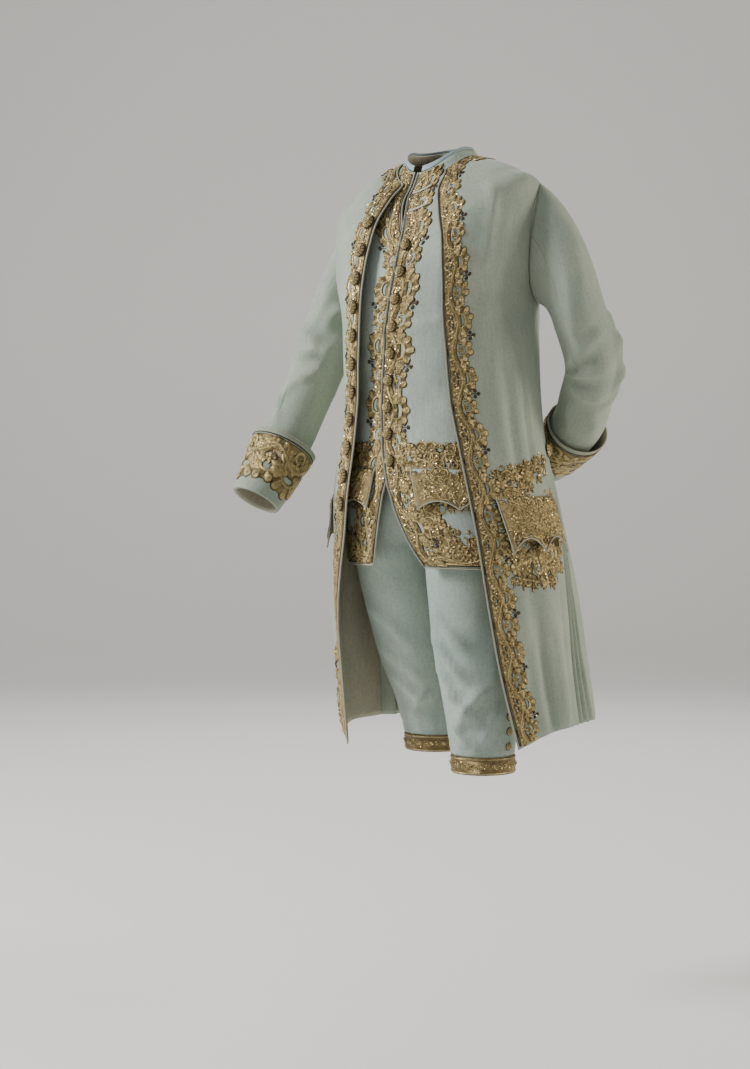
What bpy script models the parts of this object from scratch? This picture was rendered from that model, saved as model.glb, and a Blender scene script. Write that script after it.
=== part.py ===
"""Court suit of about 1760, worn: an open embroidered coat, a buttoned waistcoat and knee breeches.

Every garment is a thin cloth wall on a smooth surface. The coat and the waistcoat share one
torso surface, lofted through the rings of TORSO_RINGS, and the breeches are lofted through
PELVIS_RINGS and LEG_RINGS. Heights in the tables are metres above the floor that the wearer
stands on. The origin is the middle of the neck, where the shoulders carry the suit.
The front faces -Y, and +X is the wearer's left.
"""

import functools
import math
from collections import namedtuple

import bmesh
import bpy
from mathutils import Matrix, Vector

ORIGIN_HEIGHT = 1.507
CLOTH = 0.0020
LINING = 0.0010
SEAM_GAP = 0.0003
EMBROIDERY = 0.0014
EMBROIDERY_CLEARANCE = 0.0015
FLAP = 0.0025

Ring = namedtuple("Ring", "name front_z side_z back_z right left front back mid_x mid_y tilt")
TORSO_RINGS = [
    Ring("stand", 1.492, 1.527, 1.535, 0.061, 0.061, 0.062, 0.054, 0.0, 0.0, 0.0),
    Ring("neck", 1.452, 1.507, 1.516, 0.074, 0.074, 0.078, 0.066, 0.0, 0.0, 0.0),
    Ring("yoke", 1.425, 1.494, 1.485, 0.118, 0.118, 0.104, 0.092, 0.0, 0.0, 0.002),
    Ring("slope", 1.383, 1.472, 1.436, 0.160, 0.160, 0.128, 0.119, 0.0, 0.0, 0.006),
    Ring("shoulder", 1.330, 1.441, 1.372, 0.190, 0.198, 0.145, 0.137, 0.0, 0.0, 0.009),
    Ring("armhole", 1.272, 1.352, 1.300, 0.190, 0.194, 0.154, 0.146, 0.0, 0.0, 0.004),
    Ring("chest", 1.212, 1.262, 1.230, 0.176, 0.180, 0.157, 0.146, 0.0, 0.0, 0.0),
    Ring("rib", 1.148, 1.172, 1.155, 0.173, 0.182, 0.154, 0.143, 0.0, 0.0, 0.0),
    Ring("waist", 1.075, 1.085, 1.075, 0.173, 0.187, 0.150, 0.142, 0.0, 0.0, 0.0),
    Ring("low_waist", 1.000, 1.000, 1.000, 0.184, 0.196, 0.154, 0.152, 0.0, 0.0, 0.0),
    Ring("hip", 0.920, 0.920, 0.920, 0.199, 0.212, 0.160, 0.172, 0.002, 0.0, 0.0),
    Ring("seat", 0.840, 0.840, 0.840, 0.202, 0.224, 0.161, 0.190, 0.004, 0.0, 0.0),
    Ring("thigh", 0.725, 0.725, 0.725, 0.206, 0.236, 0.161, 0.206, 0.006, 0.002, 0.002),
    Ring("above_knee", 0.608, 0.617, 0.612, 0.203, 0.244, 0.158, 0.220, 0.008, 0.006, 0.006),
    Ring("hem", 0.421, 0.516, 0.508, 0.200, 0.254, 0.156, 0.232, 0.010, 0.012, 0.010),
]
NECK, LOW_WAIST, HIP, HEM = 1.0, 9.0, 10.0, 14.0
SQUARENESS = 0.03

# How far the coat's fronts are open at each ring, in degrees from the centre front, and how
# far each free edge stands off the torso.
Opening = namedtuple("Opening", "place left right left_off right_off")
COAT_OPENING = [
    Opening(1.0, 45, -21, 0.000, 0.000),
    Opening(2.0, 32.5, -16, 0.001, 0.001),
    Opening(3.0, 30, -15, 0.001, 0.004),
    Opening(4.0, 29.7, -13.5, 0.002, 0.007),
    Opening(6.0, 35, -16.5, 0.003, 0.010),
    Opening(8.0, 37, -21, 0.004, 0.010),
    Opening(9.0, 41, -22, 0.004, 0.010),
    Opening(10.0, 43.6, -25, 0.003, 0.008),
    Opening(11.0, 45.8, -29, 0.003, 0.006),
    Opening(12.0, 48.2, -38, 0.004, 0.003),
    Opening(13.0, 50.9, -47, 0.005, 0.002),
    Opening(14.0, 56, -51, 0.006, 0.000),
]
EDGE_REACH = 45.0

# The waistcoat lies this far inside the coat's surface, and its fronts end at these angles.
Vest = namedtuple("Vest", "place depth left right")
WAISTCOAT = [
    Vest(0.0, 0.0038, -1, -9),
    Vest(1.0, 0.0042, -4, -9),
    Vest(2.0, 0.0048, 1.5, -4),
    Vest(3.0, 0.0068, 4.4, 3),
    Vest(4.0, 0.0072, 3.2, 10),
    Vest(5.0, 0.0068, 1.2, 9),
    Vest(6.0, 0.0080, -1.8, 6),
    Vest(7.0, 0.0105, -5, 3),
    Vest(8.0, 0.0120, -8.4, 0),
    Vest(9.0, 0.0150, -7, 0.5),
    Vest(9.5, 0.0175, -4.6, -3.2),
    Vest(10.0, 0.0200, -1, -7.7),
    Vest(11.0, 0.0240, 8.3, -13.9),
    Vest(12.0, 0.0280, 28, -20),
]
WAISTCOAT_TOP = 0.36
WAISTCOAT_HEM = 11.4
UNDERLAP_DROP = 0.0034
UNDERLAP_ANGLES = (-30.0, -10.0)

# The armhole is an ellipse in ring number and angle, on each side of the torso.
ARMHOLE_PLACE, ARMHOLE_HALF_PLACES = 4.95, 1.12
ARMHOLE_ANGLE, ARMHOLE_HALF_ANGLE = 109.0, 20.0
SIDE_SEAM_ANGLE, SIDE_SEAM_SET_PLACE = 112.0, 8.0
PLEAT_TOP, PLEAT_SLIT, PLEAT_HALF_ANGLE, PLEAT_FOLDS = 9.2, 0.4, 10.0, 3
PLEAT_FOLD_TOP, PLEAT_DEPTH = 9.8, 0.024
VENT_TOP, VENT_HALF_ANGLE = 9.2, 2.5
RIPPLES, RIPPLE_TOP, RIPPLE_HEIGHT = 9, 10.0, 0.006

ArmRing = namedtuple("ArmRing", "name x y height radius")
LEFT_ARM = [
    ArmRing("bicep", 0.259, 0.052, 1.222, 0.0465),
    ArmRing("elbow", 0.260, 0.088, 1.146, 0.0460),
    ArmRing("forearm", 0.226, 0.121, 1.088, 0.0465),
    ArmRing("cuff_top", 0.182, 0.155, 1.039, 0.0460),
    ArmRing("wrist", 0.087, 0.197, 0.978, 0.0420),
]
RIGHT_ARM = [
    ArmRing("bicep", -0.240, -0.010, 1.225, 0.0500),
    ArmRing("elbow", -0.240, -0.048, 1.155, 0.0470),
    ArmRing("forearm", -0.239, -0.094, 1.085, 0.0455),
    ArmRing("cuff_top", -0.241, -0.143, 1.008, 0.0445),
    ArmRing("wrist", -0.256, -0.205, 0.908, 0.0420),
]
CUFF_GAP, CUFF_FLARE, CUFF_OUTER_FLARE = 0.0006, 0.0040, 0.0170
CUFF_FLARE_TURN = math.radians(-40)

PelvisRing = namedtuple("PelvisRing", "height half front back")
PELVIS_RINGS = [
    PelvisRing(1.036, 0.1560, 0.1250, 0.1160),
    PelvisRing(0.985, 0.1600, 0.1230, 0.1230),
    PelvisRing(0.930, 0.1620, 0.1200, 0.1290),
    PelvisRing(0.880, 0.1630, 0.1160, 0.1290),
    PelvisRing(0.830, 0.1640, 0.1100, 0.1240),
]
RISE_TOP, CROTCH = 0.930, 0.830
LegRing = namedtuple("LegRing", "height left_x left_y right_x right_y half front back left_up right_up")
LEG_RINGS = [
    LegRing(0.830, 0.0821, 0.000, -0.0821, 0.000, 0.0819, 0.110, 0.124, 0.000, 0.000),
    LegRing(0.785, 0.0850, -0.008, -0.0820, 0.006, 0.0805, 0.100, 0.110, 0.001, 0.002),
    LegRing(0.730, 0.0930, -0.019, -0.0800, 0.012, 0.0780, 0.090, 0.096, 0.002, 0.004),
    LegRing(0.650, 0.1060, -0.036, -0.0755, 0.026, 0.0725, 0.078, 0.080, 0.004, 0.008),
    LegRing(0.560, 0.1240, -0.048, -0.0660, 0.044, 0.0640, 0.067, 0.066, 0.007, 0.013),
    LegRing(0.495, 0.1320, -0.052, -0.0590, 0.054, 0.0575, 0.061, 0.059, 0.009, 0.018),
    LegRing(0.466, 0.1340, -0.053, -0.0570, 0.057, 0.0525, 0.055, 0.053, 0.010, 0.020),
    LegRing(0.434, 0.1350, -0.053, -0.0560, 0.058, 0.0520, 0.054, 0.052, 0.010, 0.020),
]
KNEE_BAND_TOP, KNEE_BAND_BOTTOM = 0.466, 0.436
KNEE_BAND = 0.0030
WAISTBAND_PLACE = 8.0

TEAL = (0.36, 0.46, 0.43)
IVORY = (0.62, 0.60, 0.52)
GOLD = (0.45, 0.31, 0.13)


def mix(low, high, share):
    return low + (high - low) * share


def smooth(share):
    """A ramp from 0 to 1 with level ends."""
    share = min(1.0, max(0.0, share))
    return share * share * (3.0 - 2.0 * share)


def spline(before, low, high, after, share):
    """The smooth curve through low and high that also heads for their neighbours."""
    slope_low, slope_high = (high - before) / 2.0, (after - low) / 2.0
    square, cube = share**2, share**3
    return (
        (2 * cube - 3 * square + 1) * low
        + (cube - 2 * square + share) * slope_low
        + (3 * square - 2 * cube) * high
        + (cube - square) * slope_high
    )


def row_at(rows, index):
    """The table's columns at a fractional row number, as a tuple of numbers."""
    low = min(len(rows) - 2, max(0, math.floor(index)))
    ends = [rows[max(0, low - 1)], rows[low], rows[low + 1], rows[min(len(rows) - 1, low + 2)]]
    return [spline(*column, index - low) for column in zip(*ends)]


def row_number(rows, value):
    """The fractional row number where the first column has this value."""
    falling = rows[0][0] > rows[-1][0]
    for number in range(len(rows) - 1):
        start, end = rows[number][0], rows[number + 1][0]
        if (value >= end if falling else value <= end) or number == len(rows) - 2:
            return number + (value - start) / (end - start)
    return 0.0


@functools.lru_cache(maxsize=None)
def torso_ring(place):
    return Ring("between", *row_at([ring[1:] for ring in TORSO_RINGS], place))


def table_at(rows, place):
    """A table that is keyed by ring number, read between its rows."""
    kind = type(rows[0])
    return kind(*row_at(rows, row_number(rows, place)))


@functools.lru_cache(maxsize=None)
def coat_opening(place):
    return table_at(COAT_OPENING, place)


@functools.lru_cache(maxsize=None)
def waistcoat_at(place):
    return table_at(WAISTCOAT, place)


def torso(angle, place):
    """A point of the torso surface: angle in degrees from the front, place in ring numbers."""
    ring = torso_ring(place)
    turn = math.radians(angle)
    side, ahead = math.sin(turn), math.cos(turn)
    square = 1.0 + SQUARENESS * math.sin(2.0 * turn) ** 2
    half = ring.left if side > 0 else ring.right
    depth = ring.front if ahead > 0 else ring.back
    end_z = ring.front_z if ahead > 0 else ring.back_z
    return Vector((
        ring.mid_x + half * side * square,
        ring.mid_y - depth * ahead * square,
        mix(ring.side_z, end_z, ahead * ahead) + ring.tilt * side - ORIGIN_HEIGHT,
    ))


def outward(surface, across, along, across_step=0.5, along_step=0.01):
    """The unit normal of a surface whose second number runs downwards."""
    sideways = surface(across + across_step, along) - surface(across - across_step, along)
    down = surface(across, along + along_step) - surface(across, along - along_step)
    return down.cross(sideways).normalized()


def torso_offset(angle, place, height):
    return torso(angle, place) + outward(torso, angle, place) * height


def coat(angle, place):
    """The coat's outer face: the torso with its free edges standing off and its skirt rippled."""
    opening = coat_opening(place)
    turned = (angle + 180.0) % 360.0 - 180.0
    if turned > 0:
        lift = opening.left_off * smooth(1.0 - (turned - opening.left) / EDGE_REACH)
    else:
        lift = opening.right_off * smooth(1.0 - (opening.right - turned) / EDGE_REACH)
    fall = smooth((place - RIPPLE_TOP) / (HEM - RIPPLE_TOP))
    lift += RIPPLE_HEIGHT * fall * math.sin(math.radians(RIPPLES * turned + 20.0))
    return torso_offset(angle, place, lift)


def waistcoat(angle, place):
    """The waistcoat's outer face. Its right front drops behind the left one at the closure."""
    drop = 0.0
    if place > 1.0:
        first, last = UNDERLAP_ANGLES
        turned = (angle + 180.0) % 360.0 - 180.0
        drop = UNDERLAP_DROP * smooth((turned - first) / (last - first)) if turned < 45.0 else 0.0
        drop *= smooth(place - 1.0)
    return torso_offset(angle, place, -waistcoat_at(place).depth - drop)


def waistcoat_left(angle, place):
    return torso_offset(angle, place, -waistcoat_at(place).depth)


def material(name, colour, roughness, metallic):
    made = bpy.data.materials.new(name)
    made.use_nodes = True
    shader = made.node_tree.nodes["Principled BSDF"]
    shader.inputs["Base Color"].default_value = (*colour, 1.0)
    shader.inputs["Roughness"].default_value = roughness
    shader.inputs["Metallic"].default_value = metallic
    return made


def finish(name, mesh, look, folder):
    """Makes the object, with its faces turned outwards and shaded smooth."""
    work = bmesh.new()
    work.from_mesh(mesh)
    bmesh.ops.recalc_face_normals(work, faces=work.faces)
    work.to_mesh(mesh)
    work.free()
    mesh.shade_smooth()
    mesh.set_sharp_from_angle(angle=math.radians(50))
    made = bpy.data.objects.new(name, mesh)
    made.data.materials.append(look)
    folder.objects.link(made)
    return made


def wall(name, outer, inner, look, folder, closed=False):
    """A closed cloth wall from two grids of points, as rows of columns.

    Every square is split along the same diagonal, so that cloths that share their grid
    never cross. A closed wall runs right round, and its first column follows its last.
    """
    rows, columns = len(outer), len(outer[0])
    points = [point for grid in (outer, inner) for row in grid for point in row]
    faces = []

    def square(a, b, c, d):
        faces.append((a, b, c))
        faces.append((a, c, d))

    def at(layer, row, column):
        return (layer * rows + row) * columns + column % columns

    spans = columns if closed else columns - 1
    for column in range(spans):
        for row in range(rows - 1):
            for layer in (0, 1):
                square(
                    at(layer, row, column),
                    at(layer, row, column + 1),
                    at(layer, row + 1, column + 1),
                    at(layer, row + 1, column),
                )
        for row in (0, rows - 1):
            square(at(0, row, column), at(0, row, column + 1), at(1, row, column + 1), at(1, row, column))
    if not closed:
        for row in range(rows - 1):
            for column in (0, columns - 1):
                square(at(0, row, column), at(0, row + 1, column), at(1, row + 1, column), at(1, row, column))
    mesh = bpy.data.meshes.new(name)
    mesh.from_pydata(points, [], faces)
    return finish(name, mesh, look, folder)


def panel(
    name, surface, rows, columns, look, folder, lift=0.0, thickness=CLOTH, bunch=1.0, kept=slice(None)
):
    """A cloth panel on a surface. rows holds (place, first angle, last angle) for each row.

    A bunch over 1 draws the columns together near the first angle. kept says which of the
    columns' edges the panel uses, so that a lining can stop one column short of its cloth.
    """
    outer, inner = [], []
    for place, first, last in rows:
        angles = [mix(first, last, (column / columns) ** bunch) for column in range(columns + 1)][kept]
        points = [(surface(angle, place), outward(surface, angle, place)) for angle in angles]
        outer.append([point + normal * lift for point, normal in points])
        inner.append([point + normal * (lift - thickness) for point, normal in points])
    return wall(name, outer, inner, look, folder)


def degrees_for(surface, angle, place, length):
    """How many degrees of angle make this length on the surface."""
    step = 1.0
    return length * step / (surface(angle + step, place) - surface(angle, place)).length


def armhole_edge(turn, shrink=0.0):
    """(angle from the armhole's middle, place) of a point on the armhole, by its turn from the top."""
    half_angle, half_places = ARMHOLE_HALF_ANGLE - shrink, ARMHOLE_HALF_PLACES - shrink / 55.0
    return half_angle * math.sin(turn), ARMHOLE_PLACE - half_places * math.cos(turn)


def torso_rows(top, hem, widen=0.0):
    """(place, armhole's half angle) for each row of a panel that has an armhole."""
    first_arm = armhole_edge(0.0, -widen)[1]
    rows = [(place, 0.0) for place in YOKE_PLACES if top <= place < first_arm - 0.2]
    steps = 6
    for number in range(steps + 1):
        half, place = armhole_edge(math.pi * number / steps, -widen)
        rows.append((place, abs(half)))
    last_arm = rows[-1][0]
    below = [place for place in SKIRT_PLACES if last_arm + 0.3 < place < hem - 0.2]
    return rows + [(place, 0.0) for place in [*below, hem]]


YOKE_PLACES = [0.36, 0.70, 1.00, 1.30, 1.65, 2.10, 2.70, 3.30]
SKIRT_PLACES = [6.8, 7.4, 8.0, 8.6, 9.2, 9.8, 10.4, 11.0, 11.7, 12.4, 13.2, 14.0]


def seam_angle(place):
    """Where the side seam lies: under the arm at the armhole, then swung towards the back."""
    start = ARMHOLE_PLACE + ARMHOLE_HALF_PLACES
    return mix(ARMHOLE_ANGLE, SIDE_SEAM_ANGLE, smooth((place - start) / (SIDE_SEAM_SET_PLACE - start)))


def pleat_half(place):
    if place < PLEAT_TOP:
        return 0.0
    return mix(PLEAT_SLIT, PLEAT_HALF_ANGLE, (place - PLEAT_TOP) / (HEM - PLEAT_TOP))


def vent_half(place):
    return VENT_HALF_ANGLE * min(1.0, max(0.0, (place - VENT_TOP) / (HEM - VENT_TOP)))


def half_seam(surface, angle, place):
    return degrees_for(surface, angle, place, SEAM_GAP / 2.0)


def coat_front_rows(side):
    rows = []
    for place, arm in torso_rows(NECK, HEM):
        opening = coat_opening(place)
        edge = opening.left if side > 0 else -opening.right
        back = seam_angle(place) - arm - pleat_half(place)
        back -= half_seam(coat, back, place) if arm == 0.0 else 0.0
        rows.append((place, side * edge, side * back))
    return rows


def coat_back_rows(side):
    rows = []
    for place, arm in torso_rows(NECK, HEM):
        front = seam_angle(place) + arm + pleat_half(place)
        front += half_seam(coat, front, place) if arm == 0.0 else 0.0
        middle = 180.0 - vent_half(place) - half_seam(coat, 180.0, place)
        rows.append((place, side * front, side * middle))
    return rows


FRONT_COLUMNS, BACK_COLUMNS = 8, 6


def make_coat_shell(folder, looks):
    for name, side in SIDES:
        fronts, backs = coat_front_rows(side), coat_back_rows(side)
        panel(f"coat_front_{name}", coat, fronts, FRONT_COLUMNS, looks["cloth"], folder)
        panel(f"coat_back_{name}", coat, backs, BACK_COLUMNS, looks["cloth"], folder)
        under = -CLOTH - SEAM_GAP
        for part, rows, columns in (("front", fronts, FRONT_COLUMNS), ("back", backs, BACK_COLUMNS)):
            skirt = [row for row in rows if row[0] > LOW_WAIST]
            kept = slice(0, -1) if part == "front" else slice(1, None)
            panel(
                f"coat_lining_{part}_{name}", coat, skirt, columns, looks["silk"], folder,
                under, LINING, kept=kept,
            )
        make_pleats(name, side, folder, looks["cloth"])


PLEAT_COLUMNS = 15


def make_pleats(name, side, folder, look):
    """The fan of folds let into each side seam below the hip."""
    places = [place for place in SKIRT_PLACES if place >= PLEAT_TOP]
    outer, inner = [], []
    for place in places:
        half = pleat_half(place) - half_seam(coat, SIDE_SEAM_ANGLE, place)
        deep = PLEAT_DEPTH * max(0.0, (place - PLEAT_FOLD_TOP) / (HEM - PLEAT_FOLD_TOP))
        line = []
        for column in range(PLEAT_COLUMNS + 1):
            share = column / PLEAT_COLUMNS
            angle = side * mix(SIDE_SEAM_ANGLE - half, SIDE_SEAM_ANGLE + half, share)
            fold = deep * (1.0 - math.cos(2.0 * math.pi * PLEAT_FOLDS * share)) / 2.0
            line.append(coat(angle, place) - outward(coat, angle, place) * fold)
        outer.append(line)
        ends = [outward(coat, side * (SIDE_SEAM_ANGLE + way * half), place) for way in (-1, 1)]
        inner.append(thickened(line, ends, CLOTH * 0.8, side))
    wall(f"coat_pleats_{name}", outer, inner, look, folder)


def thickened(line, end_normals, thickness, side):
    """A level line of points moved square to itself, towards the inside of the coat."""
    moved = [line[0] - end_normals[0] * thickness]
    for behind, point, ahead in zip(line, line[1:], line[2:]):
        along = (ahead - behind).to_2d().normalized()
        moved.append(point + Vector((-along.y, along.x, 0.0)) * side * thickness)
    return [*moved, line[-1] - end_normals[1] * thickness]


def arm_centre(arm, index):
    x, y, height, radius = row_at([ring[1:] for ring in arm], index)
    return Vector((x, y, height - ORIGIN_HEIGHT)), radius


def arm_frame(arm, side, index):
    """(centre, radius, outward axis, forward axis, direction) of the arm at a ring number."""
    centre, radius = arm_centre(arm, index)
    step = 0.05
    along = (arm_centre(arm, index + step)[0] - arm_centre(arm, index - step)[0]).normalized()
    forward = Vector((0.0, -1.0, 0.0))
    forward = (forward - along * forward.dot(along)).normalized()
    out = forward.cross(along) * side
    return centre, radius, out, forward, along


def armhole_point(side, turn):
    """A point of the armhole on the torso, a little inside the coat's own edge."""
    angle, place = armhole_edge(turn, shrink=0.50)
    return coat(side * (ARMHOLE_ANGLE - angle), place)


def sleeve(arm, side, turn, reach, lift):
    """A point of the sleeve. reach is 0 at the armhole, 1 at the bicep and 5 at the wrist.

    turn is the angle round the arm, from the top or outer side towards the front.
    """
    if reach >= 1.0:
        centre, radius, out, forward, _ = arm_frame(arm, side, reach - 1.0)
        return centre + (out * math.cos(turn) + forward * math.sin(turn)) * (radius + lift)
    start = armhole_point(side, turn)
    middle = (armhole_point(side, 0.0) + armhole_point(side, math.pi)) / 2.0
    start += (start - middle).normalized() * lift
    end = sleeve(arm, side, turn, 1.0, lift)
    along = arm_frame(arm, side, 0.0)[4]
    up = max(0.0, math.cos(turn))
    leave = Vector((side * 0.92, -0.20 * math.sin(turn), -0.50 - 0.05 * (1.0 - up))).normalized()
    span = (end - start).length
    square, cube = reach**2, reach**3
    return (
        start * (2 * cube - 3 * square + 1)
        + leave * span * (cube - 2 * square + reach)
        + end * (3 * square - 2 * cube)
        + along * span * (cube - square)
    )


SLEEVE_REACHES = [0.0, 0.35, 0.7, 1.0, 1.5, 2.0, 2.5, 3.0, 3.5, 4.0, 5.0]
SLEEVE_HALF_COLUMNS = 6


def make_sleeves(folder, looks):
    """Each sleeve is cut in two, a top half outside the arm and an under half against the body."""
    for name, side, arm in (("left", 1, LEFT_ARM), ("right", -1, RIGHT_ARM)):
        for half, middle in (("top", 0.0), ("under", math.pi)):
            outer, inner = [], []
            for reach in SLEEVE_REACHES:
                margin = SEAM_GAP / 2.0 / 0.05
                turns = [
                    middle + mix(-math.pi / 2 + margin, math.pi / 2 - margin, column / SLEEVE_HALF_COLUMNS)
                    for column in range(SLEEVE_HALF_COLUMNS + 1)
                ]
                outer.append([sleeve(arm, side, turn, reach, 0.0) for turn in turns])
                inner.append([sleeve(arm, side, turn, reach, -CLOTH) for turn in turns])
            wall(f"coat_sleeve_{name}_{half}", outer, inner, looks["cloth"], folder)
        make_cuff(name, side, arm, folder, looks["cloth"])


CUFF_ROWS, CUFF_COLUMNS = 4, 20


def cuff_clearance(turn, share):
    """How far the cuff stands off the sleeve, share being 0 at its open edge and 1 at the wrist."""
    outer = (1.0 + math.cos(turn - CUFF_FLARE_TURN)) / 2.0
    return CUFF_GAP + (CUFF_FLARE + CUFF_OUTER_FLARE * outer) * (1.0 - share) ** 1.2


def make_cuff(name, side, arm, folder, look):
    """The deep round cuff, turned back from the wrist and flaring towards the elbow."""
    wrist, top = 5.0, 4.0
    outer, inner = [], []
    for row in range(CUFF_ROWS + 1):
        share = row / CUFF_ROWS
        reach = mix(top, wrist, share)
        turns = [2.0 * math.pi * column / CUFF_COLUMNS for column in range(CUFF_COLUMNS)]
        clear = [cuff_clearance(turn, share) for turn in turns]
        inner.append([sleeve(arm, side, turn, reach, gap) for turn, gap in zip(turns, clear)])
        outer.append([sleeve(arm, side, turn, reach, gap + CLOTH) for turn, gap in zip(turns, clear)])
    wall(f"coat_cuff_{name}", outer, inner, look, folder, closed=True)


SIDES = (("left", 1), ("right", -1))


def waistcoat_front_rows(side):
    rows = []
    for place, arm in torso_rows(WAISTCOAT_TOP, WAISTCOAT_HEM, widen=2.5):
        edge = side * waistcoat_at(place)[2 if side > 0 else 3]
        back = ARMHOLE_ANGLE - arm
        back -= half_seam(waistcoat, back, place) if arm == 0.0 else 0.0
        rows.append((place, side * edge, side * back))
    return rows


def make_waistcoat(folder, looks):
    for name, side in SIDES:
        surface = waistcoat_left if side > 0 else waistcoat
        rows = waistcoat_front_rows(side)
        panel(f"waistcoat_front_{name}", surface, rows, 7, looks["cloth"], folder, bunch=1.3)
    rows = []
    for place, arm in torso_rows(WAISTCOAT_TOP, WAISTCOAT_HEM, widen=2.5):
        start = ARMHOLE_ANGLE + arm
        start += half_seam(waistcoat_left, start, place) if arm == 0.0 else 0.0
        rows.append((place, start, 360.0 - start))
    panel("waistcoat_back", waistcoat_left, rows, 10, looks["silk"], folder)
    band_rows = [(place, 4.0, 346.0) for place in (0.0, 0.16, WAISTCOAT_TOP - 0.030)]
    panel("waistcoat_neckband", waistcoat_left, band_rows, 16, looks["cloth"], folder)


# The raised borders of metal thread that run down a front: how wide each is at its scallops
# and between them, and the length of one scallop.
Border = namedtuple("Border", "inset wide narrow pitch columns")
COAT_BORDER = Border(0.0035, 0.060, 0.046, 0.045, 2)
WAISTCOAT_BORDER = Border(0.0035, 0.068, 0.052, 0.045, 3)
ROWS_PER_SCALLOP = 3


def edge_track(surface, edge_angle, top, bottom, pitch):
    """(place, share of a scallop) at even steps down a front's free edge."""
    fine = 600
    places = [mix(top, bottom, number / fine) for number in range(fine + 1)]
    points = [surface(edge_angle(place), place) for place in places]
    run = [0.0]
    for before, after in zip(points, points[1:]):
        run.append(run[-1] + (after - before).length)
    scallops = round(run[-1] / pitch)
    steps = scallops * ROWS_PER_SCALLOP
    track = []
    number = 0
    for step in range(steps + 1):
        target = run[-1] * step / steps
        while number < fine - 1 and run[number + 1] < target:
            number += 1
        share = (target - run[number]) / max(1e-9, run[number + 1] - run[number])
        track.append((mix(places[number], places[number + 1], share), step / ROWS_PER_SCALLOP))
    return track


def make_border(name, surface, side, edge_angle, top, bottom, shape, folder, look):
    """A border down a free edge. A waistcoat's border ends short of the coat that lies on it."""
    rows = []
    for place, scallop in edge_track(surface, edge_angle, top, bottom, shape.pitch):
        edge = edge_angle(place)
        bulge = abs(math.sin(math.pi * scallop)) ** 0.6
        width = mix(shape.narrow, shape.wide, bulge)
        first = edge + side * degrees_for(surface, edge, place, shape.inset)
        last = edge + side * degrees_for(surface, edge, place, width)
        if surface is not coat and side > 0:
            last = min(last, coat_opening(place).left - 2.5)
        rows.append((place, first, last))
    lift = EMBROIDERY_CLEARANCE + EMBROIDERY
    panel(name, surface, rows, shape.columns, look, folder, lift, EMBROIDERY)


COAT_BORDER_PLACES = (1.10, 13.95)
WAISTCOAT_LEFT_BORDER_PLACES = (0.50, 8.78)
WAISTCOAT_RIGHT_BORDER_PLACES = (3.4, 8.78)


def make_borders(folder, looks):
    gold = looks["gold"]
    top, bottom = COAT_BORDER_PLACES
    make_border(
        "coat_border_left", coat, 1, lambda place: coat_opening(place).left,
        top, bottom, COAT_BORDER, folder, gold,
    )
    make_border(
        "coat_border_right", coat, -1, lambda place: coat_opening(place).right,
        top, bottom, COAT_BORDER, folder, gold,
    )
    top, bottom = WAISTCOAT_LEFT_BORDER_PLACES
    make_border(
        "waistcoat_border_left", waistcoat_left, 1, lambda place: waistcoat_at(place).left,
        top, bottom, WAISTCOAT_BORDER, folder, gold,
    )
    top, bottom = WAISTCOAT_RIGHT_BORDER_PLACES
    make_border(
        "waistcoat_border_right", waistcoat, -1, lambda place: waistcoat_at(place).left - 1.5,
        top, bottom, WAISTCOAT_BORDER, folder, gold,
    )


# A field of embroidery or a flap on a front, as angles at its two ends and ring numbers at
# its top and bottom. lean is how many degrees its front end moves back on the way down.
Patch = namedtuple("Patch", "first last top bottom lean stand_off")
COAT_FIELD = Patch(67.0, 104.0, 9.30, 11.56, 3.0, 0.0)
COAT_FLAP = Patch(57.0, 103.0, 10.02, 11.18, 5.0, 0.010)
WAISTCOAT_FIELD = Patch(0.0, 70.0, 8.85, 11.35, 0.0, 0.0)
WAISTCOAT_FLAP = Patch(12.6, 60.0, 9.38, 10.30, 4.2, 0.006)
FLAP_POINTS, FLAP_SCALLOP = 2, 0.22
FLAP_ROWS, FLAP_COLUMNS = 3, 10


def make_flap(name, surface, side, patch, height, folder, look):
    """A pocket flap, hung from its top edge, with a scalloped lower edge standing off."""
    outer, inner = [], []
    for row in range(FLAP_ROWS + 1):
        down = row / FLAP_ROWS
        over, under = [], []
        for column in range(FLAP_COLUMNS + 1):
            share = column / FLAP_COLUMNS
            first = patch.first + patch.lean * down
            angle = side * mix(first, patch.last, share)
            reach = 1.0 - FLAP_SCALLOP * abs(math.sin(math.pi * FLAP_POINTS * share)) ** 0.8
            place = mix(patch.top, patch.bottom, down * reach)
            off = height + patch.stand_off * down**2
            normal = outward(surface, angle, place)
            point = surface(angle, place)
            under.append(point + normal * off)
            over.append(point + normal * (off + FLAP))
        outer.append(over)
        inner.append(under)
    wall(name, outer, inner, look, folder)


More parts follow.
